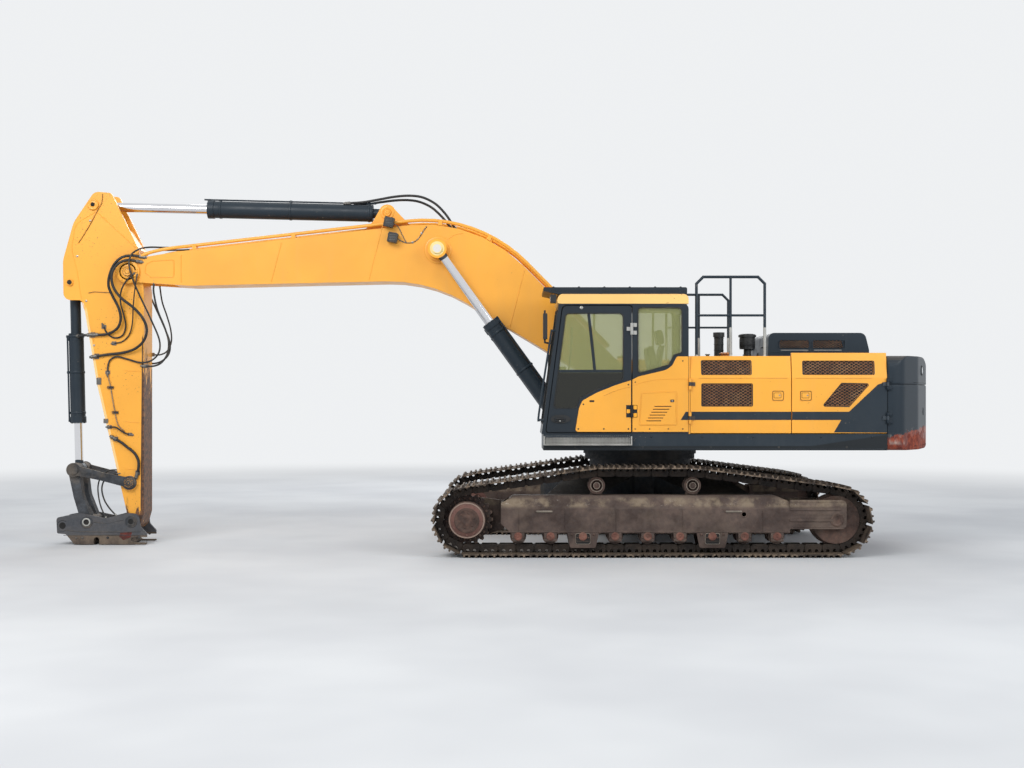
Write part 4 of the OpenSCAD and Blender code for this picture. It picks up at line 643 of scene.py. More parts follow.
class Piece:
    """Collects shapes in metres from the slew axis, and becomes one object that rides on one body."""

    def __init__(self, name, body, material, slot):
        self.name, self.body, self.slot = name, body, slot
        self.materials = [material]
        self.current = 0
        self.verts, self.faces, self.finish = [], [], []
        self.local = Matrix.Translation(TO_FRAME)

    def along(self, pin, degrees, y=0.0):
        """Draws from here on along a line through a pin, in the frame that the line spans."""
        turn = Matrix.Rotation(-math.radians(degrees), 4, "Y")
        self.local = Matrix.Translation((pin[0] - SLEW_X, y, pin[1])) @ turn

    def use(self, material):
        if material not in self.materials:
            self.materials.append(material)
        self.current = self.materials.index(material)

    def add(self, verts, faces):
        base = len(self.verts)
        self.verts += [self.local @ Vector(v) for v in verts]
        self.faces += [[base + i for i in face] for face in faces]
        self.finish += [self.current] * len(faces)

    def loft(self, rings):
        """Skin through rings of as many points each, with flat ends."""
        n = len(rings[0])
        faces = []
        for k in range(len(rings) - 1):
            for i in range(n):
                j = (i + 1) % n
                faces.append([k * n + i, k * n + j, (k + 1) * n + j, (k + 1) * n + i])
        faces += [list(range(n))[::-1], [(len(rings) - 1) * n + i for i in range(n)]]
        self.add([p for ring in rings for p in ring], faces)

    def prism(self, outline, low, high, axis="y"):
        put = {"x": lambda p, h: (h, p[0], p[1]), "y": lambda p, h: (p[0], h, p[1]),
               "z": lambda p, h: (p[0], p[1], h)}[axis]
        self.loft([[put(p, low) for p in outline], [put(p, high) for p in outline]])

    def box(self, x0, x1, y0, y1, z0, z1):
        self.prism(rect(x0, x1, z0, z1), y0, y1)

    def turned(self, place, direction, rows, sides=24):
        """A turned shape: rows of radius and height along a direction."""
        axis, side, other = spanned(direction)
        self.loft([circle(Vector(place) + axis * h, side, other, max(r, 0.0002), sides) for r, h in rows])

    def bolt(self, place, direction, size=0.016):
        axis = Vector(direction).normalized()
        self.turned(place, axis, [(size * 1.25, -0.001), (size * 1.25, size * 0.18), (size, size * 0.22)], 12)
        start = Vector(place) + axis * size * 0.2
        self.turned(start, axis, [(size, 0), (size, size * 0.5), (size * 0.82, size * 0.66),
            (0.0004, size * 0.66)], 6)

    def bolt_ring(self, place, direction, radius, n, size, start=0.0):
        axis, side, other = spanned(direction)
        for spot in circle(Vector(place), side, other, radius, n, start):
            self.bolt(spot, axis, size)

    def tube(self, points, radius, sides=10, steps=6, wobble=0.0):
        """A round bar along a smooth curve, or straight from point to point with steps at 1."""
        line = smooth_path(points, steps) if steps > 1 else [Vector(p) for p in points]
        tangent = (line[1] - line[0]).normalized()
        side = tangent.orthogonal().normalized()
        rings = []
        for i, p in enumerate(line):
            ahead = line[min(i + 1, len(line) - 1)] - line[max(i - 1, 0)]
            tangent = ahead.normalized()
            side = (side - tangent * side.dot(tangent)).normalized()
            other = tangent.cross(side)
            r = radius * (1 + wobble * random.uniform(-1, 1))
            rings.append(circle(p, side, other, r, sides))
        self.loft(rings)
        return line

    def hoop(self, outline, place, radius, sides=6, axis="y"):
        """A round bar along a closed outline that lies across an axis."""
        line = [(place, p[0], p[1]) if axis == "x" else (p[0], place, p[1]) for p in outline]
        self.tube(line + [line[0]], radius, sides, 1)

    def weld(self, points, radius=0.006, spacing=0.03):
        """A weld bead: a thin bar of uneven thickness, half sunk in what it lies on."""
        points = [Vector(p) for p in points]
        line = []
        for a, b in zip(points, points[1:]):
            n = max(1, round((b - a).length / spacing))
            line += [a.lerp(b, k / n) for k in range(n)]
        self.tube(line + [points[-1]], radius, 6, 1, 0.16)

    def done(self, bevel=0.0, segments=2, sharp=38):
        mesh = bpy.data.meshes.new(self.name)
        mesh.from_pydata([tuple(v) for v in self.verts], [], self.faces)
        for material in self.materials:
            mesh.materials.append(material)
        mesh.polygons.foreach_set("material_index", self.finish)
        work = bmesh.new()
        work.from_mesh(mesh)
        bmesh.ops.recalc_face_normals(work, faces=work.faces)
        if bevel:
            edges = [e for e in work.edges if e.is_manifold and e.calc_face_angle() > math.radians(40)]
            bmesh.ops.bevel(work, geom=edges, offset=bevel, segments=segments, profile=0.5, affect="EDGES",
                clamp_overlap=True)
        work.to_mesh(mesh)
        work.free()
        mesh.polygons.foreach_set("use_smooth", [True] * len(mesh.polygons))
        mesh.set_sharp_from_angle(angle=math.radians(sharp))
        piece = bpy.data.objects.new(self.name, mesh)
        bpy.context.scene.collection.objects.link(piece)
        if self.body:
            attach(piece, self.body)
        return piece


def point_on(pin, degrees, x, z, y=0.0):
    """A point given along a pin line, from the slew axis."""
    a = math.radians(degrees)
    return Vector((pin[0] + x * math.cos(a) - z * math.sin(a), y, pin[1] + x * math.sin(a) + z * math.cos(a)))


# Weld beads vary in thickness, drawn in the order of the pieces
random.seed(7)

# Hoses at the joint between boom and arm, and at the coupler: diameter, bodies at the two ends, and
# points of the route
HOSES = {
    "arm_hose_a": (0.034, "boom", "arm", [(6.36, 0.252, 3.66), (6.46, 0.272, 3.67), (6.574, 0.295, 3.645),
        (6.67, 0.3, 3.557), (6.729, 0.3, 3.42), (6.742, 0.3, 3.28), (6.69, 0.295, 3.15),
        (6.62, 0.285, 3.005), (6.597, 0.27, 2.87), (6.65, 0.25, 2.745), (6.787, 0.228, 2.676),
        (6.97, 0.222, 2.667)]),
    "arm_hose_b": (0.034, "boom", "arm", [(6.4, 0.262, 3.6), (6.5, 0.3, 3.61), (6.6, 0.33, 3.57),
        (6.67, 0.345, 3.48), (6.69, 0.35, 3.37), (6.66, 0.35, 3.25), (6.573, 0.348, 3.13),
        (6.41, 0.34, 3.0), (6.3, 0.33, 2.87), (6.255, 0.315, 2.73), (6.3, 0.29, 2.59), (6.42, 0.255, 2.49),
        (6.58, 0.232, 2.44), (6.76, 0.222, 2.42), (6.92, 0.222, 2.396)]),
    "arm_hose_c": (0.022, "boom", "arm", [(5.819, 0.146, 3.79), (5.95, 0.148, 3.785), (6.1, 0.16, 3.785),
        (6.25, 0.185, 3.785), (6.36, 0.235, 3.76), (6.44, 0.285, 3.7), (6.475, 0.315, 3.62),
        (6.475, 0.322, 3.53), (6.45, 0.315, 3.42), (6.4, 0.295, 3.27), (6.32, 0.28, 3.09),
        (6.2, 0.27, 2.83), (6.11, 0.26, 2.6), (6.12, 0.25, 2.44), (6.22, 0.235, 2.34), (6.36, 0.22, 2.315),
        (6.53, 0.216, 2.36), (6.66, 0.216, 2.39), (6.745, 0.216, 2.35), (6.775, 0.216, 2.27),
        (6.78, 0.214, 2.19)]),
    "arm_hose_d": (0.02, "boom", "arm", [(6.45, 0.284, 3.42), (6.52, 0.287, 3.35), (6.585, 0.285, 3.23),
        (6.6, 0.27, 3.08), (6.565, 0.25, 2.92), (6.545, 0.23, 2.78), (6.59, 0.218, 2.66),
        (6.69, 0.214, 2.63), (6.78, 0.214, 2.68), (6.83, 0.214, 2.77)]),
    "arm_hose_e": (0.016, "boom", "arm", [(6.39, 0.282, 3.4), (6.42, 0.282, 3.2), (6.44, 0.27, 3.0),
        (6.46, 0.24, 2.8), (6.51, 0.216, 2.66), (6.6, 0.212, 2.58), (6.7, 0.212, 2.56)]),
    "arm_hose_f": (0.024, "boom", "arm", [(6.19, 0.225, 3.315), (6.19, 0.228, 3.2), (6.14, 0.232, 2.98),
        (6.05, 0.232, 2.76), (6.0, 0.23, 2.58), (6.02, 0.226, 2.42), (6.1, 0.222, 2.31), (6.2, 0.218, 2.27),
        (6.3, 0.216, 2.27)]),
    "arm_hose_g": (0.02, "boom", "arm", [(6.23, -0.225, 3.32), (6.2, -0.228, 3.12), (6.14, -0.23, 2.94),
        (6.09, -0.23, 2.76), (6.08, -0.226, 2.6), (6.13, -0.22, 2.48), (6.22, -0.216, 2.43),
        (6.32, -0.214, 2.43)]),
    "coupler_hose_a": (0.02, "arm", "coupler", [(6.665, 0.19, 0.9), (6.76, 0.187, 0.88), (6.84, 0.185, 0.8),
        (6.86, 0.19, 0.69), (6.82, 0.204, 0.56), (6.75, 0.22, 0.46), (6.68, 0.226, 0.385)]),
    "arm_barrel_hose_a": (0.032, "boom", "arm_barrel", [(2.37, 0.045, 4.045), (2.42, 0.045, 4.12),
        (2.5, 0.045, 4.235), (2.62, 0.045, 4.355), (2.78, 0.045, 4.438), (2.95, 0.045, 4.462),
        (3.15, 0.045, 4.448), (3.35, 0.045, 4.412), (3.55, 0.045, 4.378), (3.72, 0.045, 4.366)]),
    "arm_barrel_hose_b": (0.032, "boom", "arm_barrel", [(2.42, -0.045, 4.052), (2.47, -0.045, 4.115),
        (2.56, -0.045, 4.22), (2.68, -0.045, 4.325), (2.83, -0.045, 4.395), (2.98, -0.045, 4.418),
        (3.15, -0.045, 4.414), (3.33, -0.045, 4.392), (3.47, -0.045, 4.372), (3.6, -0.045, 4.364)]),
    "bucket_feed": (0.034, "arm", "tip_barrel", [(6.97, 0.222, 2.667), (7.03, 0.222, 2.665),
        (7.085, 0.2, 2.663), (7.14, 0.15, 2.66), (7.19, 0.1, 2.66)]),
    "arm_line_upper": (0.02, "arm", "arm", [(6.759, 0.214, 1.497), (6.71, 0.228, 1.497),
        (6.662, 0.232, 1.489), (6.6, 0.232, 1.447), (6.55, 0.226, 1.417), (6.5, 0.214, 1.404)]),
    "arm_line_lower": (0.034, "arm", "arm", [(6.672, 0.222, 1.342), (6.6, 0.224, 1.3),
        (6.533, 0.224, 1.246), (6.435, 0.224, 1.165), (6.387, 0.224, 1.068), (6.385, 0.223, 0.98),
        (6.4, 0.222, 0.915)]),
    "coupler_hose_b": (0.018, "arm", "coupler", [(6.655, 0.16, 0.95), (6.78, 0.158, 0.94),
        (6.88, 0.16, 0.86), (6.915, 0.17, 0.74), (6.9, 0.19, 0.6), (6.86, 0.215, 0.47),
        (6.8, 0.228, 0.352)]),
}


# The pipes on the boom's right side end in hoses too
for name, right in (("arm_hose_a", "arm_hose_h"), ("arm_hose_c", "arm_hose_i")):
    HOSES[right] = HOSES[name][:3] + ([(x, -y, z) for x, y, z in HOSES[name][3]],)


def make_hose(name):
    diameter, first, second, route = HOSES[name]
    piece = Piece(name, None, rubber, "black_plastic")
    line = piece.tube(route, diameter / 2, 12, 5)
    hose = piece.done()
    if first == second:
        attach(hose, first)
    else:
        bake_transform(hose)
    return line


def fitting(piece, place, direction, radius):
    """A hose end: crimped sleeve, nut and the stub that it screws on, along the way that it leaves."""
    piece.turned(place, direction, [(radius, -0.01), (radius * 1.35, -0.004), (radius * 1.3, radius * 2.6),
        (radius * 1.05, radius * 2.9)], 14)
    start = Vector(place) + Vector(direction).normalized() * radius * 2.8
    piece.turned(start, direction, [(radius * 1.5, 0), (radius * 1.5, radius * 1.2), (radius, radius * 1.5),
        (radius, radius * 2.4)], 6)


hose_ends = {}
for body in ("boom", "arm", "coupler", "tip_barrel", "arm_barrel"):
    hose_ends[body] = Piece(body + "_hose_ends", body, fitting_steel, "chrome_rod")
for name in HOSES:
    line = make_hose(name)
    radius = HOSES[name][0] / 2
    first, second = HOSES[name][1:3]
    fitting(hose_ends[first], line[0], line[0] - line[2], radius)
    fitting(hose_ends[second], line[-1], line[-1] - line[-3], radius)
for piece in hose_ends.values():
    piece.done(0.001, 1)


# The crawler tracks: chains of links with pins and bolts, and shoes with three grousers

SHOE_N = 51
CHAIN_PIN_R = 0.336
# The wheels' places ahead of and behind the slew axis, and their height
WHEEL_X, WHEEL_Z = 2.17, 0.43
CARRIERS = ((0.643, 0.832), (-0.487, 0.832))
CARRIER_R, RAIL_R = 0.1, 0.285
TRACK_Y = 1.37
SHOE_HALF, BEAM_HALF = 0.3, 0.185
# Bottom rollers: number, first place, step and height, and the guards beside two of them
ROLLER_N, ROLLER_X, ROLLER_STEP, ROLLER_Z = 9, 1.568, 0.37975, 0.2403
GUARDS = (0.8085, -0.7105)


def loop_at(r):
    """The closed line that lies at radius r round the wheels and over the carrier rollers."""
    lift = r - RAIL_R + CARRIER_R + 0.0003
    stops = [(Vector((-WHEEL_X, WHEEL_Z)), r), (Vector((WHEEL_X, WHEEL_Z)), r)]
    stops += [(Vector(c), lift) for c in CARRIERS]
    line = []
    n = len(stops)

    def belt_angle(a, b):
        d = b[0] - a[0]
        return math.atan2(d.y, d.x) - math.pi / 2 + math.asin((a[1] - b[1]) / d.length)

    for i, stop in enumerate(stops):
        arrive, leave = belt_angle(stops[i - 1], stop), belt_angle(stop, stops[(i + 1) % n])
        while leave < arrive - 1e-9:
            leave += 2 * math.pi
        steps = max(1, round((leave - arrive) / 0.05))
        for k in range(steps + 1):
            a = arrive + (leave - arrive) * k / steps
            line.append(stop[0] + stop[1] * Vector((math.cos(a), math.sin(a))))
    return line


def chain_pins():
    """Pin centres of the chain: equal steps along its line, with one on the ground run's middle."""
    line = loop_at(CHAIN_PIN_R)
    line.append(line[0])
    reach = [0]
    for a, b in zip(line, line[1:]):
        reach.append(reach[-1] + (b - a).length)
    total = reach[-1]
    xs, zs = [p.x for p in line], [p.y for p in line]
    spots = [(k + 0.5) * total / SHOE_N for k in range(SHOE_N)]
    return [Vector((float(np.interp(s, reach, xs)), float(np.interp(s, reach, zs)))) for s in spots]


# One shoe's section: share of the pitch, height over the plate's lower face
SECTION = ((-0.02, 0.052), (0.14, 0.052), (0.96, 0.052), (1.03, 0.058), (1.03, 0.064), (0.955, 0.066),
    (0.945, 0.09), (0.875, 0.094), (0.84, 0.067), (0.69, 0.066), (0.655, 0.066), (0.615, 0.094),
    (0.545, 0.094), (0.505, 0.066), (0.32, 0.066), (0.235, 0.066), (0.205, 0.094), (0.125, 0.094),
    (0.09, 0.066), (0.01, 0.066), (-0.02, 0.058))


def track(side, sign):
    """Shoes and chain of one side."""
    shoes = Piece("shoes_" + side, "undercarriage", track_steel, "track_steel")
    links = Piece("chain_" + side, "undercarriage", chain_steel, "dirty_steel")
    pins = chain_pins()
    y = sign * TRACK_Y
    centre = sum(pins, Vector((0, 0))) / SHOE_N
    for i, a in enumerate(pins):
        b = pins[(i + 1) % SHOE_N]
        run = b - a
        pitch = run.length
        run.normalize()
        out = Vector((run.y, -run.x))
        if out.dot((a + b) / 2 - centre) < 0:
            out = -out

        def place(u, h, yy):
            p = a + run * u * pitch + out * h
            return (p.x, yy, p.y)

        # The shoe's two outer ends are cut back at their corners
        rows = []
        for w, level in ((-1, 0), (-0.9, 1), (0.9, 1), (1, 0)):
            ring = []
            for u, h in SECTION:
                uu = u if level else 0.5 + (u - 0.5) * 0.86
                hh = h if level or h < 0.07 else h - 0.006
                ring.append(place(uu, hh, y + w * (SHOE_HALF - 0.0002)))
            rows.append(ring)
        shoes.loft(rows)
        for u in (0.3, 0.76):
            for w in (-0.086 - 0.032, -0.086 + 0.026, 0.086 - 0.026, 0.086 + 0.032):
                p = place(u, 0.0655, y + w)
                shoes.turned(p, (out.x, 0, out.y), [(0.0125, 0), (0.0125, 0.009), (0.01, 0.011)], 6)
        # Links: a wide eye over the pin, a waist, a rail face towards the rollers
        for w in (-1, 1):
            mid = y + w * 0.086
            # Rail edge below, feet towards the shoe above with a window for the bolts' nuts on each side
            low, high = mid - 0.02, mid + 0.02
            outline = [(0.03, -0.024), (0.1, -0.046), (0.9, -0.046), (0.97, -0.024), (0.97, 0.012),
                (0.9, 0.0515), (0.8, 0.0515), (0.78, 0.022), (0.73, 0.012), (0.66, 0.012), (0.61, 0.022),
                (0.59, 0.0515), (0.42, 0.0515), (0.4, 0.022), (0.35, 0.012), (0.28, 0.012), (0.23, 0.022),
                (0.21, 0.0515), (0.1, 0.0515), (0.03, 0.012)]
            links.loft([[place(u, h, low) for u, h in outline], [place(u, h, high) for u, h in outline]])
            # Overlapping eye of the neighbour link, set in towards the chain's middle
            eye = [(-0.2, -0.012), (-0.13, -0.034), (0.13, -0.034), (0.2, -0.012), (0.2, 0.012),
                (0.13, 0.034), (-0.13, 0.034), (-0.2, 0.012)]
            inner = mid - w * 0.012
            links.loft([[place(u, h, inner - 0.016) for u, h in eye],
                [place(u, h, inner + 0.016) for u, h in eye]])
            ends = place(0, 0, mid + w * 0.012)
            links.turned(ends, (0, w, 0), [(0.02, -0.01), (0.02, 0.002), (0.015, 0.004), (0.012, 0.002)], 10)
        links.turned(place(0, 0, y - 0.07), LEFT, [(0.03, 0), (0.03, 0.14)], 10)
    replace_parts(shoes.done(sharp=30), "track_" + side)
    links.done(sharp=30)


for side, sign in SIDES:
    track(side, sign)


def frame_fittings(side, sign):
    """Pads, seams, rollers' collars and guards of one track frame."""
    y = sign * TRACK_Y
    steel = Piece("frame_fittings_" + side, "undercarriage", beam_steel, "dirty_steel")
    face = y + sign * BEAM_HALF
    out = (0, sign, 0)
    # Raised pads on the beam's side, scraped bright, and the seams of its side plates
    for x in (-0.96, 1.26):
        steel.use(scraped)
        outline = rounded(rect(x - 0.095, x + 0.095, 0.524, 0.546, 0.008), 2)
        steel.prism(outline, face + sign * 0.0075, face + sign * 0.0115)
    steel.use(beam_steel)
    for x in (-1.30, -0.36, 0.42, 1.02, 1.56):
        steel.weld([(x, face, 0.29), (x, face, 0.555)], 0.005, spacing=0.02)
    steel.weld([(-1.6, face, 0.293), (1.75, face, 0.293)], 0.006, spacing=0.03)
    steel.turned((-1.08, face, 0.5), out, [(0.04, 0), (0.04, 0.004), (0.034, 0.006), (0.0255, 0.006),
        (0.0255, 0.0)], 28)
    # Carrier rollers: ring of the seal and the end cap with a cross of ribs
    for x, z in CARRIERS:
        for w in (-1, 1):
            place = (x, y + w * 0.1065, z)
            steel.use(drive_steel)
            steel.turned(place, (0, w, 0), [(0.098, -0.004), (0.098, 0.0), (0.086, 0.001), (0.082, 0.007),
                (0.06, 0.007), (0.056, 0.003), (0.05, 0.003)], 36)
            steel.turned(place, (0, w, 0), [(0.046, 0), (0.046, 0.02), (0.04, 0.026), (0.012, 0.026)], 28)
            steel.use(scraped)
            steel.turned(place, (0, w, 0), [(0.076, 0.006), (0.0755, 0.0082), (0.0675, 0.0082),
                (0.067, 0.006)], 36)
            steel.turned(place, (0, w, 0), [(0.0405, 0.0255), (0.04, 0.0272), (0.034, 0.0272),
                (0.0335, 0.0255)], 28)
            steel.use(drive_steel)
        for turn in (45, 135):
            c, s = math.cos(math.radians(turn)) * 0.034, math.sin(math.radians(turn)) * 0.034
            steel.tube([(x - c, y + sign * 0.131, z - s), (x + c, y + sign * 0.131, z + s)], 0.0045, 6, 1)
    # Bottom rollers: ribbed end collars with a fill plug
    steel.use(drive_steel)
    for i in range(ROLLER_N):
        x = ROLLER_X - i * ROLLER_STEP
        for w in (-1, 1):
            place = (x, y + w * 0.177, ROLLER_Z)
            steel.turned(place, (0, w, 0), [(0.034, -0.002), (0.034, 0.003), (0.026, 0.0055),
                (0.011, 0.0055), (0.009, 0.002), (0.0004, 0.002)], 20)
            steel.use(roller_rust)
            steel.turned((x, y + w * 0.184, ROLLER_Z), (0, w, 0), [(0.05, -0.003), (0.05, 0.003),
                (0.044, 0.0055), (0.03, 0.0055), (0.026, 0.003), (0.012, 0.003), (0.009, 0.0055),
                (0.0004, 0.0055)], 28)
            steel.use(drive_steel)
            for dx in (-0.064, 0.064):
                steel.bolt((x + dx, y + w * 0.184, 0.226), (0, w, 0), 0.009)
            steel.weld([(x - 0.072, y + w * 0.184, 0.184), (x + 0.072, y + w * 0.184, 0.184)], 0.003,
                spacing=0.02)
    # Guards beside two of the rollers
    for x in GUARDS:
        for dx in (-0.13, 0.13):
            steel.bolt((x + dx, face, 0.262), out, 0.013)
        # The guard's window: a near-black sheet of painted shade in a lighter frame, with the roller's end
        # cap in it
        hole = rect(x - 0.085, x + 0.085, 0.15, 0.275, 0.02)
        steel.use(shade_fill)
        steel.prism(rounded(hole, 3), face - sign * 0.001, face + sign * 0.0006)
        steel.use(scraped)
        steel.hoop(rounded(hole, 3), face + sign * 0.0012, 0.0045)
        steel.use(roller_rust)
        steel.turned((x, face, ROLLER_Z), out, [(0.05, -0.002), (0.05, 0.005), (0.044, 0.0075),
            (0.012, 0.0075), (0.009, 0.005), (0.0004, 0.005)], 28)
        steel.use(drive_steel)
    # Idler yoke: ribs' seams, and the grease cover with its ring of bolts
    steel.use(beam_steel)
    for z in (0.35, 0.495, 0.64):
        steel.weld([(-2.26, face, z), (-1.66, face, z)], 0.004, spacing=0.03)
    steel.use(drive_steel)
    steel.turned((-WHEEL_X, face, WHEEL_Z), out, [(0.078, -0.002), (0.078, 0.004), (0.07, 0.0075),
        (0.052, 0.0075), (0.048, 0.004), (0.0004, 0.004)], 32)
    steel.bolt_ring((-WHEEL_X, face + sign * 0.0035, WHEEL_Z), out, 0.061, 6, 0.0075)
    steel.done(0.0012, 1)


def drive_fittings(side, sign):
    """Sprocket: rings on the disc's face, and the bolts round its hub and its rim."""
    y, out = sign * TRACK_Y, (0, sign, 0)
    drive = Piece("drive_fittings_" + side, "undercarriage", drive_steel, "dirty_steel")
    hub = (WHEEL_X, y + sign * 0.2335, WHEEL_Z)
    drive.turned((WHEEL_X, y + sign * 0.12, WHEEL_Z), out, [(0.2195, -0.004), (0.2195, 0.006),
        (0.2135, 0.009), (0.2105, 0.009)], 56)
    drive.turned(hub, out, [(0.148, -0.003), (0.148, 0.004), (0.142, 0.007), (0.118, 0.007), (0.114, 0.003),
        (0.06, 0.003), (0.056, 0.007), (0.03, 0.007), (0.026, 0.003)], 48)
    drive.bolt_ring((WHEEL_X, y + sign * 0.2365, WHEEL_Z), out, 0.087, 6, 0.009)
    drive.bolt_ring((WHEEL_X, y + sign * 0.022, WHEEL_Z), out, 0.245, 24, 0.0125, 0.13)
    drive.done(0.001, 1)


for side, sign in SIDES:
    frame_fittings(side, sign)
    drive_fittings(side, sign)


# Sides of the upper structure: mesh grilles, stripe plates, handles and creases


def mesh_screen(piece, outline, y, sign, step=0.03, wire=0.0052):
    """Expanded-metal mesh of crossing wires, cut to a closed outline."""
    points = [Vector(p[:2]) for p in outline]
    low = Vector((min(p.x for p in points), min(p.y for p in points)))
    high = Vector((max(p.x for p in points), max(p.y for p in points)))
    n = len(points)
    for slant in (1, -1):
        along = Vector((1, 0.62 * slant)).normalized()
        across = Vector((-along.y, along.x))
        spots = [c.dot(across) for c in (low, high, Vector((low.x, high.y)), Vector((high.x, low.y)))]
        k = math.floor(min(spots) / step)
        while k * step < max(spots):
            offset = k * step
            k += 1
            hits = []
            for i in range(n):
                a, b = points[i], points[(i + 1) % n]
                da, db = a.dot(across) - offset, b.dot(across) - offset
                if (da < 0) != (db < 0):
                    hits.append((a + (b - a) * da / (da - db)).dot(along))
            hits.sort()
            for h0, h1 in zip(hits[::2], hits[1::2]):
                if h1 - h0 < 0.012:
                    continue
                p, q = along * h0 + across * offset, along * h1 + across * offset
                depth = y - sign * (0.0 if slant > 0 else wire * 0.9)
                piece.tube([(p.x, depth, p.y), (q.x, depth, q.y)], wire / 2, 5, 1)


def frame_ring(piece, outline, y, sign, width=0.012, proud=0.003):
    """A pressed rim round an opening."""
    inner = [Vector(p) for p in outline]
    n = len(inner)
    middle = sum(inner, Vector((0, 0))) / n
    outer = [p + (p - middle).normalized() * width for p in inner]
    crown = [Vector((p.x + (m.x - p.x) * 0.35, p.y + (m.y - p.y) * 0.35)) for p, m in zip(outer, inner)]
    levels = ((outer, -sign * 0.002), (outer, sign * proud * 0.7), (crown, sign * proud),
        (inner, sign * proud * 0.6), (inner, -sign * 0.004))
    rings = [[(p.x, y + depth, p.y) for p in line] for line, depth in levels]
    faces = []
    for k in range(len(rings)):
        for i in range(n):
            j = (i + 1) % n
            k2 = (k + 1) % len(rings)
            faces.append([k * n + i, k * n + j, k2 * n + j, k2 * n + i])
    piece.add([v for ring in rings for v in ring], faces)


def shrunk(rows, by):
    """Rows moved in towards their middle."""
    points = [Vector(r[:2]) for r in rows]
    middle = sum(points, Vector((0, 0))) / len(points)
    return [(p.x - math.copysign(by, p.x - middle.x), p.y - math.copysign(by, p.y - middle.y), r[2])
        for p, r in zip(points, rows)]


GRILLES = {
    "front": (rect(-1.173, -0.6, 2.138, 2.307, 0.018), rect(-1.185, -0.6, 1.768, 2.031, 0.018)),
    "rear": (rect(-2.621, -1.793, 2.138, 2.302, 0.018), [(-2.327, 1.768, 0.018), (-2.017, 1.768, 0.018),
        (-2.242, 2.031, 0.018), (-2.571, 2.031, 0.018)]),
}
CREASE_Z, TOP_LEAN = 2.1, 0.045


def lean(piece, start, sign, top):
    """Bends what was drawn on the upright wall's plane over to the part that leans in above the crease."""
    for v in piece.verts[start:]:
        v.y -= sign * TOP_LEAN * max(0.0, v.z - CREASE_Z) / (top - CREASE_Z)


def side_wall(tag, body, sign, top, grilles, stripe, handle, crease):
    """The fittings of one side door or fixed wall whose leaning part ends at height top."""
    y = sign * WALL
    net = Piece("mesh_" + tag, body, mesh_brown, "dirty_steel")
    for rows in grilles:
        start = len(net.verts)
        outline = rounded(rows, 4)
        net.use(mesh_brown)
        mesh_screen(net, rounded(shrunk(rows, 0.003), 4), y - sign * 0.005, sign)
        net.use(plastic)
        frame_ring(net, outline, y, sign)
        # A near-black sheet behind the grille: painted shade
        net.use(shade_fill)
        net.prism(rounded(shrunk(rows, 0.002), 4), y - sign * 0.0118, y - sign * 0.0108)
        lean(net, start, sign, top)
    net.done(sharp=30)
    fit = Piece("fittings_" + tag, body, slate, "slate_paint")
    # Dark stripe plate with the shape of the body's flash
    fit.prism(stripe, y + sign * 0.0002, y + sign * 0.0022)
    # Pressed ledge along the crease
    fit.use(orange)
    ledge = [(0.0005, 0.0), (0.0035, -0.0015), (0.004, -0.004), (0.0005, -0.0055)]
    fit.loft([[(x, y + sign * t, CREASE_Z + h) for t, h in ledge] for x in crease])
    # Recessed handle: a pressed tray with a rim, a paddle and a lock
    hx0, hx1 = handle
    rows = rect(hx0, hx1, 1.834, 1.946, 0.014)
    frame_ring(fit, rounded(rows, 4), y, sign, 0.007, 0.004)
    # The tray's near-black floor is painted shade
    fit.use(shade_fill)
    fit.prism(rounded(shrunk(rows, 0.001), 4), y + sign * 0.0003, y + sign * 0.0009)
    fit.use(orange)
    fit.prism(rounded(shrunk(rows, 0.006), 4), y + sign * 0.0005, y + sign * 0.0018)
    mid = (hx0 + hx1) / 2
    # The near-black ring round the paddle is painted shade
    fit.use(shade_fill)
    paddle = rect(mid - 0.038, mid + 0.05, 1.862, 1.926, 0.008)
    fit.prism(rounded(paddle, 4), y + sign * 0.001, y + sign * 0.0022)
    fit.use(orange)
    fit.prism(rounded(shrunk(paddle, 0.004), 4), y + sign * 0.001, y + sign * 0.006)
    fit.use(zinc)
    fit.turned((mid - 0.018, y + sign * 0.0055, 1.894), (0, sign, 0), [(0.0095, 0), (0.0095, 0.0015),
        (0.0075, 0.0025), (0.006, 0.0018), (0.0004, 0.0018)], 20)
    fit.done(0.0006, 1)


STRIPE_LOW, STRIPE_HIGH = 1.605, 1.702
front_stripe = rect(-1.645, -0.47, STRIPE_LOW, STRIPE_HIGH)
rear_stripe = [(-2.775, 1.455), (-2.149, 1.459), (-2.236, STRIPE_LOW), (-1.657, STRIPE_LOW),
    (-1.657, STRIPE_HIGH), (-2.327, STRIPE_HIGH), (-2.667, 2.021), (-2.775, 2.06)]
FRONT_DOOR = (2.359, GRILLES["front"], front_stripe, (-1.557, -1.426), (-1.6, -0.56))
REAR_DOOR = (2.397, GRILLES["rear"], rear_stripe, (-1.886, -1.755), (-2.6, -1.7))
side_wall("door_front", "side_door_front", 1, *FRONT_DOOR)
side_wall("door_rear", "side_door_rear", 1, *REAR_DOOR)
side_wall("pump", "pump_door", -1, *FRONT_DOOR)
side_wall("wall_right", "upper", -1, *REAR_DOOR)

# Cab side of the body: the short stripe between the cab and the front door
band = Piece("stripe_cab_side", "upper", slate, "slate_paint")
band.prism([(-0.434, STRIPE_LOW), (-0.345, STRIPE_LOW), (-0.404, STRIPE_HIGH), (-0.434, STRIPE_HIGH)],
    WALL + 0.0075, WALL + 0.0095)
# A near-black rubber strip fills the gap beside the front door's hinges: painted shade
band.use(rubber)
band.box(-0.4515, -0.4435, 1.44, 1.486, 1.442, 2.34)
band.done(0.0006, 1)


# Cab: louvred cover, latch, seals, wiper, door handle and grab rod


def cab_line(z):
    """x of the cab's front at a height."""
    return 1.261 - 0.201 * (z - 1.44) / 1.538


# Direction that the cab's front faces
CAB_SLOPE = (1, 0, 0.13)
SEAL_R = 0.006


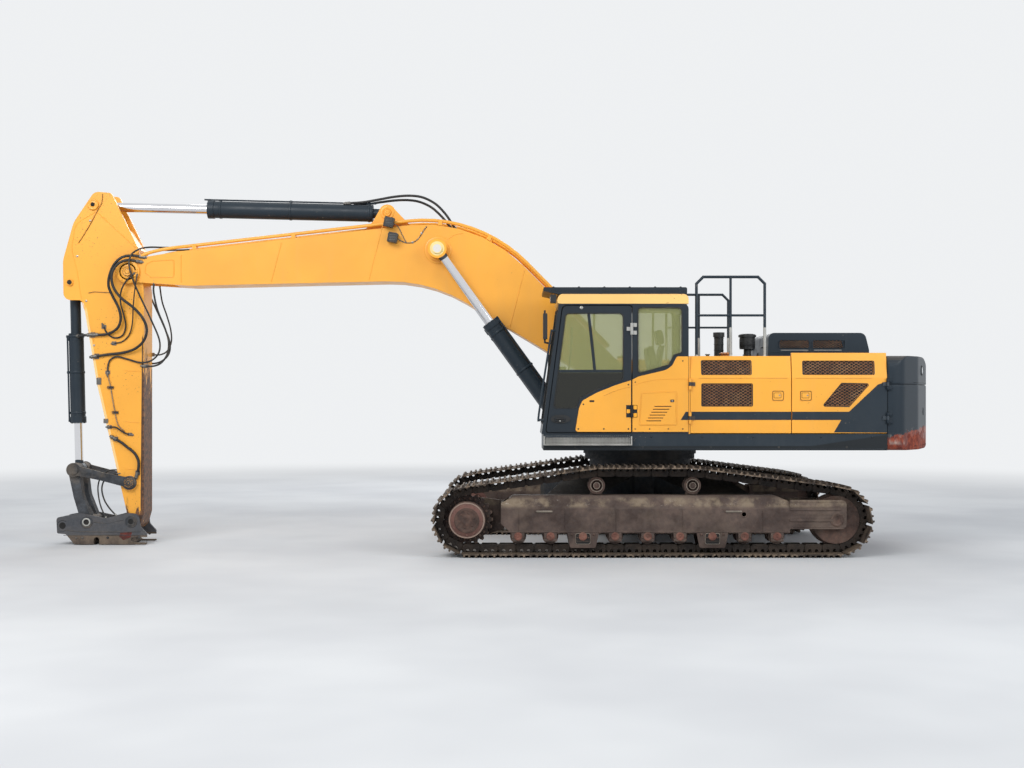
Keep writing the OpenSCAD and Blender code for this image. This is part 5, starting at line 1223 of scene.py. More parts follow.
def cab_trim():
    """Louvred cover, latch, crease and screws of the cab's side plate."""
    trim = Piece("cab_trim", "upper", orange, "orange_paint")
    y = WALL + 0.0125
    # A raised rim follows the louvred cover's edge, and each slot has a hood over it
    cover = rounded([(-0.29, 1.553, 0.02), (0.134, 1.553, 0.02), (0.109, 1.918, 0.02),
        (-0.29, 1.934, 0.02)], 4)
    trim.hoop(cover, y, 0.0028)
    louvres = [((-0.114 - 0.024 * i, 1.594 + 0.034 * i), (0.058 - 0.019 * i, 1.594 + 0.034 * i))
        for i in range(6)]
    hood = [(0, 0.0045), (0, 0.013), (0.0045, 0.011), (0.006, 0.0055)]
    for ends in louvres:
        trim.loft([[(x, y - 0.0006 + t, z + h) for t, h in hood] for x, z in ends])
    trim.use(plastic)
    trim.prism(rounded(rect(-0.268, -0.222, 1.815, 1.845, 0.006), 3), y, y + 0.005)
    trim.use(zinc)
    trim.turned((-0.245, y + 0.0045, 1.83), LEFT, lid(0.009, 0, 0.002), 16)
    # Near-black slots under the hoods: painted shade
    trim.use(shade_fill)
    for a, b in louvres:
        trim.prism([(a[0], a[1] - 0.0045), (b[0], b[1] - 0.0045), (b[0], b[1] + 0.004),
            (a[0], a[1] + 0.004)], y - 0.0009, y + 0.0003)
    # Pressed crease over the cab's plate, bending down towards the door
    trim.use(orange)
    trim.tube([(-0.43, WALL + 0.0074, 2.0896), (-0.2, WALL + 0.0074, 2.086), (-0.028, WALL + 0.0074, 2.073),
        (0.12, WALL + 0.0074, 2.042), (0.216, WALL + 0.0074, 2.01)], 0.0032, 6, 5)
    trim.use(plastic)
    for x, z in ((-0.37, 1.50), (-0.37, 2.30), (0.19, 1.50), (0.19, 2.05), (-0.2, 1.5), (0.02, 1.5)):
        trim.bolt((x, WALL + 0.0072, z), LEFT, 0.0075)
    trim.done(0.0005, 1)


def cab_seals():
    """Window seals and the wiper."""
    seals = Piece("cab_seals", "upper", rubber, "black_plastic")
    side = rounded([(0.157, 2.15, 0.03), (0.157, 2.93, 0.04), (-0.36, 2.93, 0.04), (-0.36, 2.395, 0.03),
        (-0.268, 2.372, 0.02), (-0.205, 2.252, 0.02)], 4)
    seals.hoop(side, WALL + 0.0005, SEAL_R)
    right = rounded([(-0.36, 2.1, 0.04), (cab_line(2.1) - 0.09, 2.1, 0.04),
        (cab_line(2.93) - 0.09, 2.93, 0.04), (-0.36, 2.93, 0.04)], 4)
    seals.hoop(right, 0.5195, SEAL_R)
    front = [(cab_line(p.y) + 0.031, p.x, p.y) for p in rounded(rect(0.59, 1.42, 1.56, 2.9, 0.05), 4)]
    seals.tube(front + [front[0]], 0.008, 6, 1)
    seals.hoop(rounded(rect(0.62, 1.39, 2.25, 2.9, 0.05), 4), -0.4405, 0.008, axis="x")
    # Wiper on the windscreen
    seals.use(plastic)
    pivot = Vector((cab_line(2.88) + 0.036, 1.32, 2.88))
    tip = Vector((cab_line(2.2) + 0.04, 1.05, 2.2))
    seals.turned(pivot, CAB_SLOPE, [(0.018, -0.01), (0.018, 0.012), (0.012, 0.018)], 16)
    seals.tube([pivot, pivot.lerp(tip, 0.5) + Vector((0.012, 0, 0)), tip], 0.006, 8, 4)
    seals.tube([tip + Vector((-0.002, 0.05, 0.3)), tip, tip + Vector((0.002, -0.05, -0.3))], 0.0065, 6, 1)
    seals.done(sharp=30)


def cab_door_fittings():
    """Window seal, handle, stop and grab bar of the door."""
    door = Piece("cab_door_fittings", "cab_door", plastic, "black_plastic")
    y = WALL
    window = rounded([(0.885, 1.742, 0.03), (cab_line(1.742) - 0.07, 1.742, 0.03),
        (cab_line(2.86) - 0.07, 2.86, 0.04), (0.331, 2.86, 0.04), (0.331, 2.085, 0.03), (0.65, 1.958, 0.03),
        (0.838, 1.862, 0.03)], 4)
    door.hoop(window, y + 0.0005, SEAL_R)
    # Oval handle plate with its grip and lock
    door.prism(oval(1.068, 1.616, 0.1175, 0.05), y + 0.007, y + 0.0115)
    plate = oval(1.075, 1.61, 0.056, 0.026)
    door.prism(plate, y + 0.0265, y + 0.0295)
    door.tube([(1.028, y + 0.028, 1.612), (1.04, y + 0.04, 1.616), (1.075, y + 0.044, 1.617),
        (1.11, y + 0.04, 1.616), (1.122, y + 0.028, 1.612)], 0.0065, 8, 4)
    door.use(zinc)
    door.turned((1.075, y + 0.029, 1.593), LEFT, [(0.009, 0), (0.009, 0.003), (0.0065, 0.004),
        (0.0004, 0.004)], 18)
    # Round stop at the door's top; crease, a slot of near-black painted shade, and screws of the orange plate
    door.turned((0.823, y, 2.927), LEFT, [(0.02, -0.001), (0.02, 0.004), (0.015, 0.007), (0.0004, 0.007)], 20)
    door.use(orange)
    door.tube([(0.245, y + 0.0074, 1.995), (0.352, y + 0.0074, 1.969), (0.456, y + 0.0074, 1.934),
        (0.56, y + 0.0074, 1.888)], 0.0032, 6, 5)
    door.use(shade_fill)
    door.prism(rounded(rect(0.672, 0.728, 1.815, 1.838, 0.005), 3), y + 0.0075, y + 0.0088)
    door.use(plastic)
    for x, z in ((0.27, 1.5), (0.27, 2.02), (0.86, 1.5), (0.56, 1.5), (0.8, 1.79)):
        door.bolt((x, y + 0.0072, z), LEFT, 0.0075)
    # Inner grab bar behind the glass
    door.tube([(1.0, 1.437, 2.12), (0.985, 1.415, 2.13), (0.955, 1.405, 2.3), (0.94, 1.405, 2.5),
        (0.935, 1.415, 2.68), (0.94, 1.437, 2.69)], 0.011, 10, 5)
    door.done(0.0008, 1)


def grab_rods():
    """The rod at the cab's front corner."""
    rails = Piece("grab_rods", "upper", slate, "slate_paint")
    low, high = 1.6, 2.66
    foot, head = cab_line(low), cab_line(high)
    path = [(head + 0.028, 1.475, high), (head + 0.072, 1.478, high - 0.01),
        (head + 0.085, 1.478, high - 0.08), (foot + 0.083, 1.478, low + 0.08),
        (foot + 0.07, 1.478, low + 0.01), (foot + 0.028, 1.475, low)]
    rails.tube(path, 0.0125, 10, 5)
    for x, y, z in (path[0], path[-1]):
        rails.turned((x - 0.002, y, z), CAB_SLOPE, [(0.026, 0), (0.026, 0.006), (0.018, 0.008)], 16)
    rails.done()


cab_trim()
cab_seals()
cab_door_fittings()
grab_rods()


# Boom and arm: pin caps, keeper plates, weld seams, castings, clamps and lamps


def pin_cap(piece, place, sign, radius, bolts=6, skirt=0.006):
    """A pin's end: stepped rings with bolts round them."""
    axis = (0, sign, 0)
    r = radius
    piece.turned(place, axis, [(r, -skirt), (r, 0.003), (r * 0.93, 0.006), (r * 0.8, 0.006),
        (r * 0.77, 0.0025), (r * 0.55, 0.0025), (r * 0.52, 0.006), (r * 0.3, 0.0068), (r * 0.1, 0.0068),
        (r * 0.08, 0.004)], 40)
    if bolts:
        piece.bolt_ring(Vector(place) + Vector((0, sign * 0.0058, 0)), axis, r * 0.865, bolts, r * 0.07, 0.4)


def keeper(piece, x, z, y, sign, turn, size=0.05):
    """A small plate with two bolts that holds a pin from turning."""
    c, s = math.cos(math.radians(turn)), math.sin(math.radians(turn))

    def at(u, v):
        return (x + u * c - v * s, z + u * s + v * c)

    rows = rect(-size, size, -size * 0.42, size * 0.42)
    outline = rounded([(*at(u, v), 0.01) for u, v in rows], 3)
    piece.prism(outline, y - sign * 0.0005, y + sign * 0.012)
    for u in (-size * 0.62, size * 0.62):
        px, pz = at(u, 0)
        piece.bolt((px, y + sign * 0.012, pz), (0, sign, 0), 0.011)


def on_boom(x, z):
    p = point_on(FOOT, BOOM_ANGLE, x, z)
    return p.x, p.z


def boom_fittings():
    """Nose rings, keeper plates, weld seams and bosses."""
    steel = Piece("boom_fittings", "boom", orange, "orange_paint")
    for sign in (1, -1):
        y = sign * (BOOM_HALF + 0.0003)
        nose_y = sign * 0.268
        # Nose: rings round the pin, keeper plate, and the casting that the box runs into
        steel.use(orange)
        x, z = NOSE
        steel.turned((x, nose_y, z), (0, sign, 0), [(0.144, -0.004), (0.144, 0.002), (0.136, 0.005),
            (0.112, 0.005), (0.106, 0.0), (0.09, 0.0), (0.086, 0.004), (0.068, 0.004)], 56)
        keeper(steel, x - 0.102, z - 0.03, nose_y, sign, 105, 0.045)
        steel.bolt_ring((x, nose_y + sign * 0.0045, z), (0, sign, 0), 0.124, 8, 0.0065, 0.2)
        # Weld seams of the casting: upright line, raised inner rectangle
        steel.weld([(5.84, y, 3.68), (5.84, y, 3.335)], 0.006, spacing=0.02)
        inner = rounded([(5.93, 3.40, 0.03), (6.22, 3.395, 0.03), (6.30, 3.46, 0.04), (6.28, 3.57, 0.04),
            (6.20, 3.605, 0.03), (5.93, 3.62, 0.03)], 4)
        steel.hoop(inner, y + sign * 0.0005, 0.006, 8)
        # Foot and crest seams across the side plates
        for u in (0.62, 1.62, 3.5, 4.7):
            ray = []
            for v in np.linspace(-0.9, 2.4, 160):
                p = point_on(FOOT, BOOM_ANGLE, u, v)
                if side_hit("boom", p.x, p.z, sign):
                    ray.append(p)
            if len(ray) > 2:
                steel.weld([(ray[0].x, y, ray[0].z + 0.02), (ray[-1].x, y, ray[-1].z - 0.02)], 0.005,
                    spacing=0.02)
        # Boom cylinder boss: rings and seams, and the curved seam that runs up from it
        steel.weld(smooth_path([(2.476, y, 3.853), (2.42, y, 3.905), (2.351, y, 3.94), (2.26, y, 3.955)],
            5), 0.0045, spacing=0.02)
        ex, ez = BOOM_EYE
        steel.turned((ex, sign * 0.2403, ez), (0, sign, 0), [(0.175, -0.003), (0.175, 0.004),
            (0.165, 0.011), (0.145, 0.012), (0.1405, 0.012)], 48)
        # Foot boss ring
        steel.turned((FOOT[0], y, FOOT[1]), (0, sign, 0), [(0.165, -0.003), (0.165, 0.004), (0.155, 0.0075),
            (0.11, 0.0075), (0.104, 0.003), (0.078, 0.003)], 48)
        steel.use(slate)
        steel.bolt_ring((FOOT[0], y + sign * 0.006, FOOT[1]), (0, sign, 0), 0.132, 8, 0.009)
    # Ear reinforcement rings at the arm cylinder's foot
    steel.use(orange)
    x, z = ARM_CYL_FOOT
    for sign in (1, -1):
        steel.turned((x, sign * 0.115, z), (0, sign, 0), [(0.09, -0.003), (0.09, 0.004), (0.082, 0.008),
            (0.056, 0.008), (0.052, 0.004)], 40)
        pin_cap(steel, (x, sign * 0.135, z), sign, 0.047, 4)
        steel.weld([(x - 0.3, sign * 0.1155, z - 0.18), (x + 0.26, sign * 0.1155, z - 0.16)], 0.006,
            spacing=0.02)
    steel.done(0.001, 1)


def boom_pipe_ends():
    """Ends of the two outer oil pipes, bent down to the hoses at the nose."""
    pipes = Piece("boom_pipe_ends", "boom", orange, "orange_paint")
    for sign in (1, -1):
        pipes.tube([(5.80, sign * 0.198, 3.7935), (5.835, sign * 0.201, 3.788), (5.92, sign * 0.226, 3.775),
            (6.1, sign * 0.238, 3.745), (6.25, sign * 0.247, 3.705), (6.345, sign * 0.25, 3.665)], 0.0215,
            16, 5)
        pin_cap(pipes, (NOSE[0], sign * 0.285, NOSE[1]), sign, 0.054, 0)
    pipes.done(0.001, 1)


def boom_pins_and_lamps():
    """Pin ends, work lamps and their cables."""
    dark = Piece("boom_pins_lamps", "boom", zinc, "chrome_rod")
    dark.use(plastic)
    for sign in (1, -1):
        for r, y in ((0.057, 0.2845), (0.0295, 0.291)):
            dark.turned((NOSE[0], sign * y, NOSE[1]), (0, sign, 0), [(r + 0.002, -0.003),
                (r + 0.002, 0.0015), (r - 0.001, 0.0015), (r - 0.001, -0.003)], 36)
    # Work lamps on the boom's side: housing rim, glass and bars
    for u, v in ((3.42, 1.378), (3.33, 1.20)):
        cx, cz = on_boom(u, v)
        for sign in (1, -1):
            lamp_y = sign * 0.3503
            dark.use(plastic)
            rim = rounded(rect(cx - 0.058, cx + 0.058, cz - 0.058, cz + 0.058, 0.016), 4)
            dark.prism(rim, lamp_y - sign * 0.02, lamp_y + sign * 0.001)
            dark.use(lamp_dark)
            glass_rim = rounded(rect(cx - 0.046, cx + 0.046, cz - 0.046, cz + 0.046, 0.012), 4)
            dark.prism(glass_rim, lamp_y, lamp_y + sign * 0.004)
            dark.use(zinc)
            for k in range(4):
                dark.tube([(cx - 0.04, lamp_y + sign * 0.0045, cz - 0.03 + 0.02 * k),
                    (cx + 0.04, lamp_y + sign * 0.0045, cz - 0.03 + 0.02 * k)], 0.0014, 5, 1)
    # Cable of the two lamps on the left side, down from the pipes
    dark.use(plastic)
    dark.tube([(2.72, 0.245, 4.045), (2.76, 0.246, 3.99), (2.83, 0.246, 3.885), (2.9, 0.246, 3.84),
        (2.98, 0.246, 3.835), (3.05, 0.25, 3.86), (3.095, 0.262, 3.89)], 0.006, 8, 5)
    dark.tube([(2.98, 0.246, 3.835), (3.03, 0.246, 3.93), (3.08, 0.25, 4.03), (3.14, 0.262, 4.075)], 0.005,
        8, 5)
    dark.use(zinc)
    for x, z in ((2.785, 3.955), (2.9, 3.84)):
        dark.bolt((x, 0.2402, z), LEFT, 0.012)
    dark.done(0.0006, 1)


def side_hit(node, x, z, sign):
    """Whether a line along y from the side meets a node's outer plate there."""
    hit = TREES[node].ray_cast(Vector((x - SLEW_X, sign * 3, z)), Vector((0, -sign, 0)))
    return hit[0] is not None and abs(hit[1].y) > 0.9


def tree_of(node):
    mesh = NODES[node].data
    return BVHTree.FromPolygons([NODES[node].matrix_world @ v.co for v in mesh.vertices],
        [tuple(p.vertices) for p in mesh.polygons])


TREES = {node: tree_of(node) for node in ("boom", "counterweight")}


def arm_fittings():
    """Weld seams, and the ring round the rocker's pin."""
    skin = Piece("arm_fittings", "arm", orange_arm, "orange_paint")
    for sign in (1, -1):
        y = sign * (ARM_HALF + 0.0003)
        # Inverted V of weld seams in the arm's top plates, and the seam along its front box
        skin.weld([(6.916, y, 4.23), (6.43, y, 3.78)], 0.0055, spacing=0.02)
        skin.weld([(6.916, y, 4.23), (7.16, y, 3.83)], 0.0055, spacing=0.02)
        contour = smooth_path([(x, y, z) for x, z in ((6.935, 4.233), (7.17, 4.08), (7.22, 3.9),
            (7.233, 3.725), (7.17, 3.47), (7.137, 3.237), (7.094, 3.04), (7.025, 2.847), (6.958, 2.574))],
            4)
        skin.weld(contour, 0.0045, spacing=0.02)
        # Edge strip on the arm's rear side, with stitch welds
        strip = [(6.341, 2.35), (6.345, 1.9), (6.349, 1.4), (6.354, 0.82)]
        skin.weld([(p[0], y, p[1]) for p in strip], 0.0045, spacing=0.02)
        for z in (2.2, 1.55, 0.95):
            skin.weld([(6.352, y, z), (6.352 + 0.21, y, z + 0.015)], 0.0045, spacing=0.02)
        # Ring round the rocker's pin
        skin.turned((ROCKER_PIN[0], y, ROCKER_PIN[1]), (0, sign, 0), [(0.095, -0.003), (0.095, 0.003),
            (0.088, 0.0075), (0.07, 0.0075), (0.064, 0.004)], 40)
    skin.done(0.001, 1)


def arm_pins_and_clamps():
    """Pin caps, hose clamps, thin pipe and cables."""
    pins = Piece("arm_pins", "arm", orange, "orange_paint")
    for sign in (1, -1):
        pin_cap(pins, (ARM_EYE[0], sign * 0.2222, ARM_EYE[1]), sign, 0.068, 6)
        # A near-black disc in the pin's end: painted shade
        pins.use(shade_fill)
        pins.turned((ARM_EYE[0], sign * 0.2285, ARM_EYE[1]), (0, sign, 0), lid(0.028, -0.002, 0.001), 28)
        pins.use(orange_arm)
        pin_cap(pins, (TIP_CYL_FOOT[0], sign * 0.2202, TIP_CYL_FOOT[1]), sign, 0.044, 0)
        # A near-black disc in the pin's end: painted shade
        pins.use(shade_fill)
        pins.turned((TIP_CYL_FOOT[0], sign * 0.2265, TIP_CYL_FOOT[1]), (0, sign, 0),
            lid(0.03, -0.002, 0.001), 28)
        pins.use(linkage_steel)
        pin_cap(pins, (ROCKER_PIN[0], sign * 0.2762, ROCKER_PIN[1]), sign, 0.0635, 6, 0.0215)
        pins.use(orange)
    # Hose clamps and fitting blocks on the arm's sides
    pins.use(fitting_steel)
    for x, z, tall, sides in ((6.97, 2.667, 0.07, (1, -1)), (6.92, 2.396, 0.07, (1,)),
            (6.78, 2.19, 0.05, (1, -1)), (6.83, 2.77, 0.05, (1,)), (6.7, 2.56, 0.05, (1,)),
            (6.3, 2.27, 0.05, (1,)), (6.32, 2.43, 0.05, (-1,)), (6.759, 1.497, 0.05, (1,)),
            (6.68, 1.345, 0.06, (1,)), (6.4, 0.915, 0.06, (1,)), (6.5, 1.404, 0.04, (1,)),
            (6.894, 2.08, 0.09, (1,)), (6.805, 1.573, 0.06, (1,))):
        for sign in sides:
            pins.prism(rounded(rect(x - 0.03, x + 0.03, z - tall / 2, z + tall / 2, 0.008), 3),
                sign * 0.2003, sign * 0.2075)
            pins.bolt((x, sign * 0.2075, z + tall / 2 - 0.012), (0, sign, 0), 0.007)
    # Thin oil pipe down the arm's left side, with two clamps
    pins.tube([(6.78, 0.213, 2.19), (6.765, 0.211, 2.1), (6.743, 0.21, 2.0), (6.687, 0.21, 1.684),
        (6.646, 0.21, 1.522), (6.565, 0.21, 1.441)], 0.0075, 8, 5)
    pins.use(plastic)
    for x, z in ((6.745, 2.0), (6.685, 1.683)):
        pins.prism(rounded(rect(x - 0.04, x + 0.04, z - 0.016, z + 0.016, 0.006), 3), 0.2004, 0.2215)
        pins.bolt((x + 0.026, 0.2215, z), LEFT, 0.0065)
    # Cable along the arm's upper end, and the grease line across it
    pins.tube([(6.846, 0.206, 4.46), (6.85, 0.206, 4.4), (6.86, 0.206, 4.34), (6.92, 0.206, 4.23),
        (7.03, 0.206, 4.03), (7.15, 0.206, 3.84)], 0.005, 8, 5)
    pins.tube([(7.025, 0.206, 3.2), (6.95, 0.206, 3.215), (6.87, 0.206, 3.21), (6.74, 0.206, 3.205)], 0.005,
        8, 5)
    pins.use(zinc)
    for x, z in ((7.007, 4.12), (7.17, 3.67), (7.055, 3.1), (6.957, 2.535)):
        pins.bolt((x, 0.2003, z), LEFT, 0.012)
    pins.done(0.0008, 1)


boom_fittings()
boom_pipe_ends()
boom_pins_and_lamps()
arm_fittings()
arm_pins_and_clamps()


def cylinder_fittings():
    """Bands, gland bolts, ports and feed pipes of the four cylinders."""
    rows = [("boom_barrel_" + side, BOOM_CYL_FOOT, 54.16, 1.63, 0.105, sign * 0.37, sign, 62, 0.17)
        for side, sign in SIDES]
    rows.append(("arm_barrel", ARM_CYL_FOOT, 1.381, 2.31, 0.108, 0.0, 1, 90, 0.19))
    rows.append(("tip_barrel", TIP_CYL_FOOT, -91.37, 1.79, 0.093, 0.0, 1, 62, 0.64))
    for name, pin, angle, length, r, y, sign, pipe_turn, neck in rows:
        piece = Piece(name + "_fittings", name, slate, "slate_paint")
        piece.along(pin, angle, y)
        if name == "tip_barrel":
            bands = (neck + 0.04, neck + 0.5, length - 0.13)
        else:
            bands = (neck + 0.05, 0.5 * (neck + length), length - 0.16)
        for x in bands:
            piece.turned((x, 0, 0), AHEAD, [(r - 0.001, -0.016), (r + 0.006, -0.014), (r + 0.006, 0.014),
                (r - 0.001, 0.016)], 40)
        # Bolt circle on the gland's face
        piece.use(zinc)
        piece.bolt_ring((length + 0.0005, 0, 0), AHEAD, r - 0.013, 12, 0.0085)
        # Feed pipe along the barrel with two blocks, on its outer or upper side
        piece.use(slate)
        lift = r + 0.017
        turn = math.radians(pipe_turn)
        oy, oz = math.cos(turn) * sign, math.sin(turn)
        start, end = neck + 0.07, length - 0.05
        route = [(start, oy * r, oz * r), (start, oy * lift, oz * lift),
            (start + 0.05, oy * lift, oz * lift), (end - 0.05, oy * lift, oz * lift),
            (end, oy * lift, oz * lift), (end, oy * r, oz * r)]
        piece.tube(route, 0.011, 10, 5)
        for x in (start, end):
            piece.turned((x, oy * (r - 0.004), oz * (r - 0.004)), (0, oy, oz),
                [(0.026, 0), (0.026, 0.014), (0.018, 0.018)], 8)
        for x in bands[:2]:
            piece.turned((x, oy * (r + 0.002), oz * (r + 0.002)), (0, oy, oz),
                [(0.021, 0), (0.021, 0.028), (0.015, 0.031)], 4)
        piece.weld([(neck + 0.012, r * math.cos(a), r * math.sin(a))
            for a in np.linspace(0, 2 * math.pi, 40)], 0.004, spacing=0.02)
        piece.done(0.0008, 1)


cylinder_fittings()


# Hood, counterweight, deck, step, walkways, caps and rail feet


def hood_fittings():
    """Windows, edging, latch, handles and ribs of the engine hood."""
    piece = Piece("hood_fittings", "hood", slate, "slate_paint")
    low, high = 2.482, 2.576
    windows = (((-1.664, low), (-1.664, high), (-2.03, high), (-2.03, low)),
        ((-2.078, low), (-2.078, high), (-2.42, high), (-2.46, low)))
    for sign in (1, -1):
        y = sign * 0.7
        for corners in windows:
            rows = [(x, z, 0.02) for x, z in corners[::-1]]
            # A near-black sheet behind the mesh: painted shade
            piece.use(shade_fill)
            piece.prism(rounded(shrunk(rows, -0.004), 4), y + sign * 0.0004, y + sign * 0.0014)
            piece.use(mesh_brown)
            mesh_screen(piece, rounded(rows, 4), y + sign * 0.004, sign, 0.024, 0.004)
            piece.use(slate)
            frame_ring(piece, rounded(rows, 4), y, sign, 0.014, 0.009)
        # Bright edging along the foot of the hood, and a bead under it
        piece.use(step_metal)
        for x0, x1 in ((-1.68, -2.02), (-2.09, -2.43)):
            piece.prism(rect(x1, x0, 2.452, 2.46), y + sign * 0.0004, y + sign * 0.0034)
        piece.use(slate)
        piece.weld([(-1.53, y, 2.425), (-2.75, y, 2.425)], 0.0035, spacing=0.05)
    # Latch on the front face, two lift handles, and pressed ribs along the top
    piece.use(plastic)

    def face(z):
        return -1.519 - 0.012 * (z - 2.345) / 0.325

    piece.turned((face(2.42), 0.0, 2.42), AHEAD, [(0.03, -0.002), (0.03, 0.008), (0.022, 0.012),
        (0.0004, 0.012)], 20)
    for yy in (-0.4, 0.4):
        x = face(2.5) + 0.001
        piece.tube([(x - 0.004, yy - 0.07, 2.5), (x + 0.028, yy - 0.065, 2.5), (x + 0.03, yy, 2.5),
            (x + 0.028, yy + 0.065, 2.5), (x - 0.004, yy + 0.07, 2.5)], 0.008, 8, 4)
    piece.use(slate)
    for yy in (-0.5, -0.3, -0.1, 0.1, 0.3, 0.5):
        rib = [(yy - 0.028, 2.6695), (yy + 0.028, 2.6695), (yy + 0.016, 2.678), (yy - 0.016, 2.678)]
        piece.prism(rib, -1.75, -2.55, "x")
    piece.done(0.0008, 1)


# Rearmost point of the machine, height of the body's top, and steps of the studs on the walkways
TAIL_X, BODY_TOP, STUD_GAP = -3.58, 2.3443, 0.07


def on_tail(start, ray):
    """Where a line meets the counterweight, from the slew axis, and the way that its face looks there."""
    place, normal = TREES["counterweight"].ray_cast(start, ray)[:2]
    return place and (place - TO_FRAME, normal)


def round_tail(degrees, z):
    """The counterweight's face at an angle from the rear, seen from a hub inside it."""
    a = math.radians(degrees)
    away = Vector((-math.cos(a), math.sin(a), 0))
    return on_tail(Vector((-2.9 - SLEW_X, 0, z)) + away * 4, -away)


def tail_fittings():
    """Beads, plugs and lamps of the counterweight."""
    piece = Piece("tail_fittings", "upper", slate_tail, "slate_paint")
    # Seam beads just above the groove and along the foot, following the tail's plan
    bead = 0.0035
    for z in (2.05, 1.29):
        hits = [round_tail(a, z) for a in np.linspace(-78, 78, 60)]
        line = [hit[0] for hit in hits if hit]
        piece.tube([(max(p.x, TAIL_X + bead), p.y, p.z) for p in line], bead, 6, 1)
    # Round plugs over the mounting bolts, and a lamp at each rear corner
    for sign in (1, -1):
        for z in (1.7, 1.48):
            hit = round_tail(sign * 52, z)
            if hit:
                piece.turned(*hit, [(0.05, -0.004), (0.05, 0.002), (0.042, 0.005), (0.0004, 0.005)], 28)
        hit = on_tail(Vector((-6 - SLEW_X, sign * 0.84, 2.2)), Vector(AHEAD))
        if hit:
            piece.use(plastic)
            piece.turned(*hit, [(0.062, -0.008), (0.062, 0.006), (0.054, 0.012), (0.05, 0.006)], 28)
            piece.use(lamp_lens)
            piece.turned(*hit, [(0.051, -0.004), (0.051, 0.007), (0.03, 0.0105), (0.0004, 0.0115)], 28)
            piece.use(slate_tail)
    piece.done(0.0008, 1)


def deck_fittings():
    """Folded lip, drain holes and bolts along both sides."""
    piece = Piece("deck_fittings", "upper", slate, "slate_paint")
    for sign in (1, -1):
        y = sign * WALL
        # Folded lip along the deck's side and drain holes
        piece.weld([(1.2 if sign > 0 else 1.15, y, 1.262), (-2.74, y, 1.262)], 0.004, spacing=0.2)
        piece.use(plastic)
        for x in (0.9, 0.1, -0.7, -1.5, -2.3):
            piece.turned((x, y, 1.285), (0, sign, 0), [(0.013, -0.001), (0.013, 0.0015), (0.0105, 0.002),
                (0.0004, 0.0004)], 16)
        piece.use(slate)
        for x in (1.0, 0.0, -0.6, -1.2, -2.0, -2.6):
            piece.bolt((x, y, 1.405), (0, sign, 0), 0.009)
    piece.done(0.0006, 1)


def step_grating():
    """Serrated bars along the step's side, end plates and tread studs."""
    step = Piece("step_grating", "upper", step_metal, "step_plate")
    y = 1.5523
    x = 0.262
    while x < 1.24:
        step.prism([(x, 1.322), (x + 0.006, 1.322), (x + 0.006, 1.398), (x + 0.003, 1.402), (x, 1.398)],
            y - 0.018, y - 0.006)
        x += 0.0165
    for z in (1.326, 1.36, 1.394):
        step.prism(rect(0.24, 1.26, z - 0.002, z + 0.002), y - 0.024, y - 0.008)
    for x in (0.2385, 1.2615):
        step.prism(rounded(rect(x - 0.008, x + 0.008, 1.31, 1.414, 0.003), 2), y - 0.0005, y + 0.0012)
    # Tread studs on the upper face
    for i in range(40):
        for j in range(2):
            step.turned((0.26 + i * 0.0252, 1.508 + 0.026 * j, 1.4155), UP,
                [(0.006, 0), (0.0045, 0.003), (0.0004, 0.0032)], 8)
    step.done(0.0, 1)


def walkways():
    """Plates with raised studs on the body's top, along both sides of the hood."""
    walk = Piece("walkway", "upper", plastic, "slate_paint")
    for sign in (1, -1):
        walk.use(slate)
        for x0, x1, inner in ((-1.42, -0.54, 0.8), (-2.08, -1.44, 0.76), (-2.74, -2.1, 0.76)):
            y0, y1 = sorted((sign * inner, sign * 1.32))
            walk.prism(rounded(rect(x0, x1, y0, y1, 0.02), 3), BODY_TOP - 0.0002, BODY_TOP + 0.003, "z")
            nx, ny = int((x1 - x0 - 0.08) / STUD_GAP), int((y1 - y0 - 0.08) / STUD_GAP)
            for i in range(nx + 1):
                for j in range(ny + 1):
                    place = (x0 + 0.045 + i * STUD_GAP, y0 + 0.045 + j * STUD_GAP, BODY_TOP + 0.0028)
                    walk.turned(place, UP, [(0.016, 0), (0.0145, 0.0035), (0.009, 0.004), (0.008, 0.001)], 8)
    walk.done(0.0, 1)


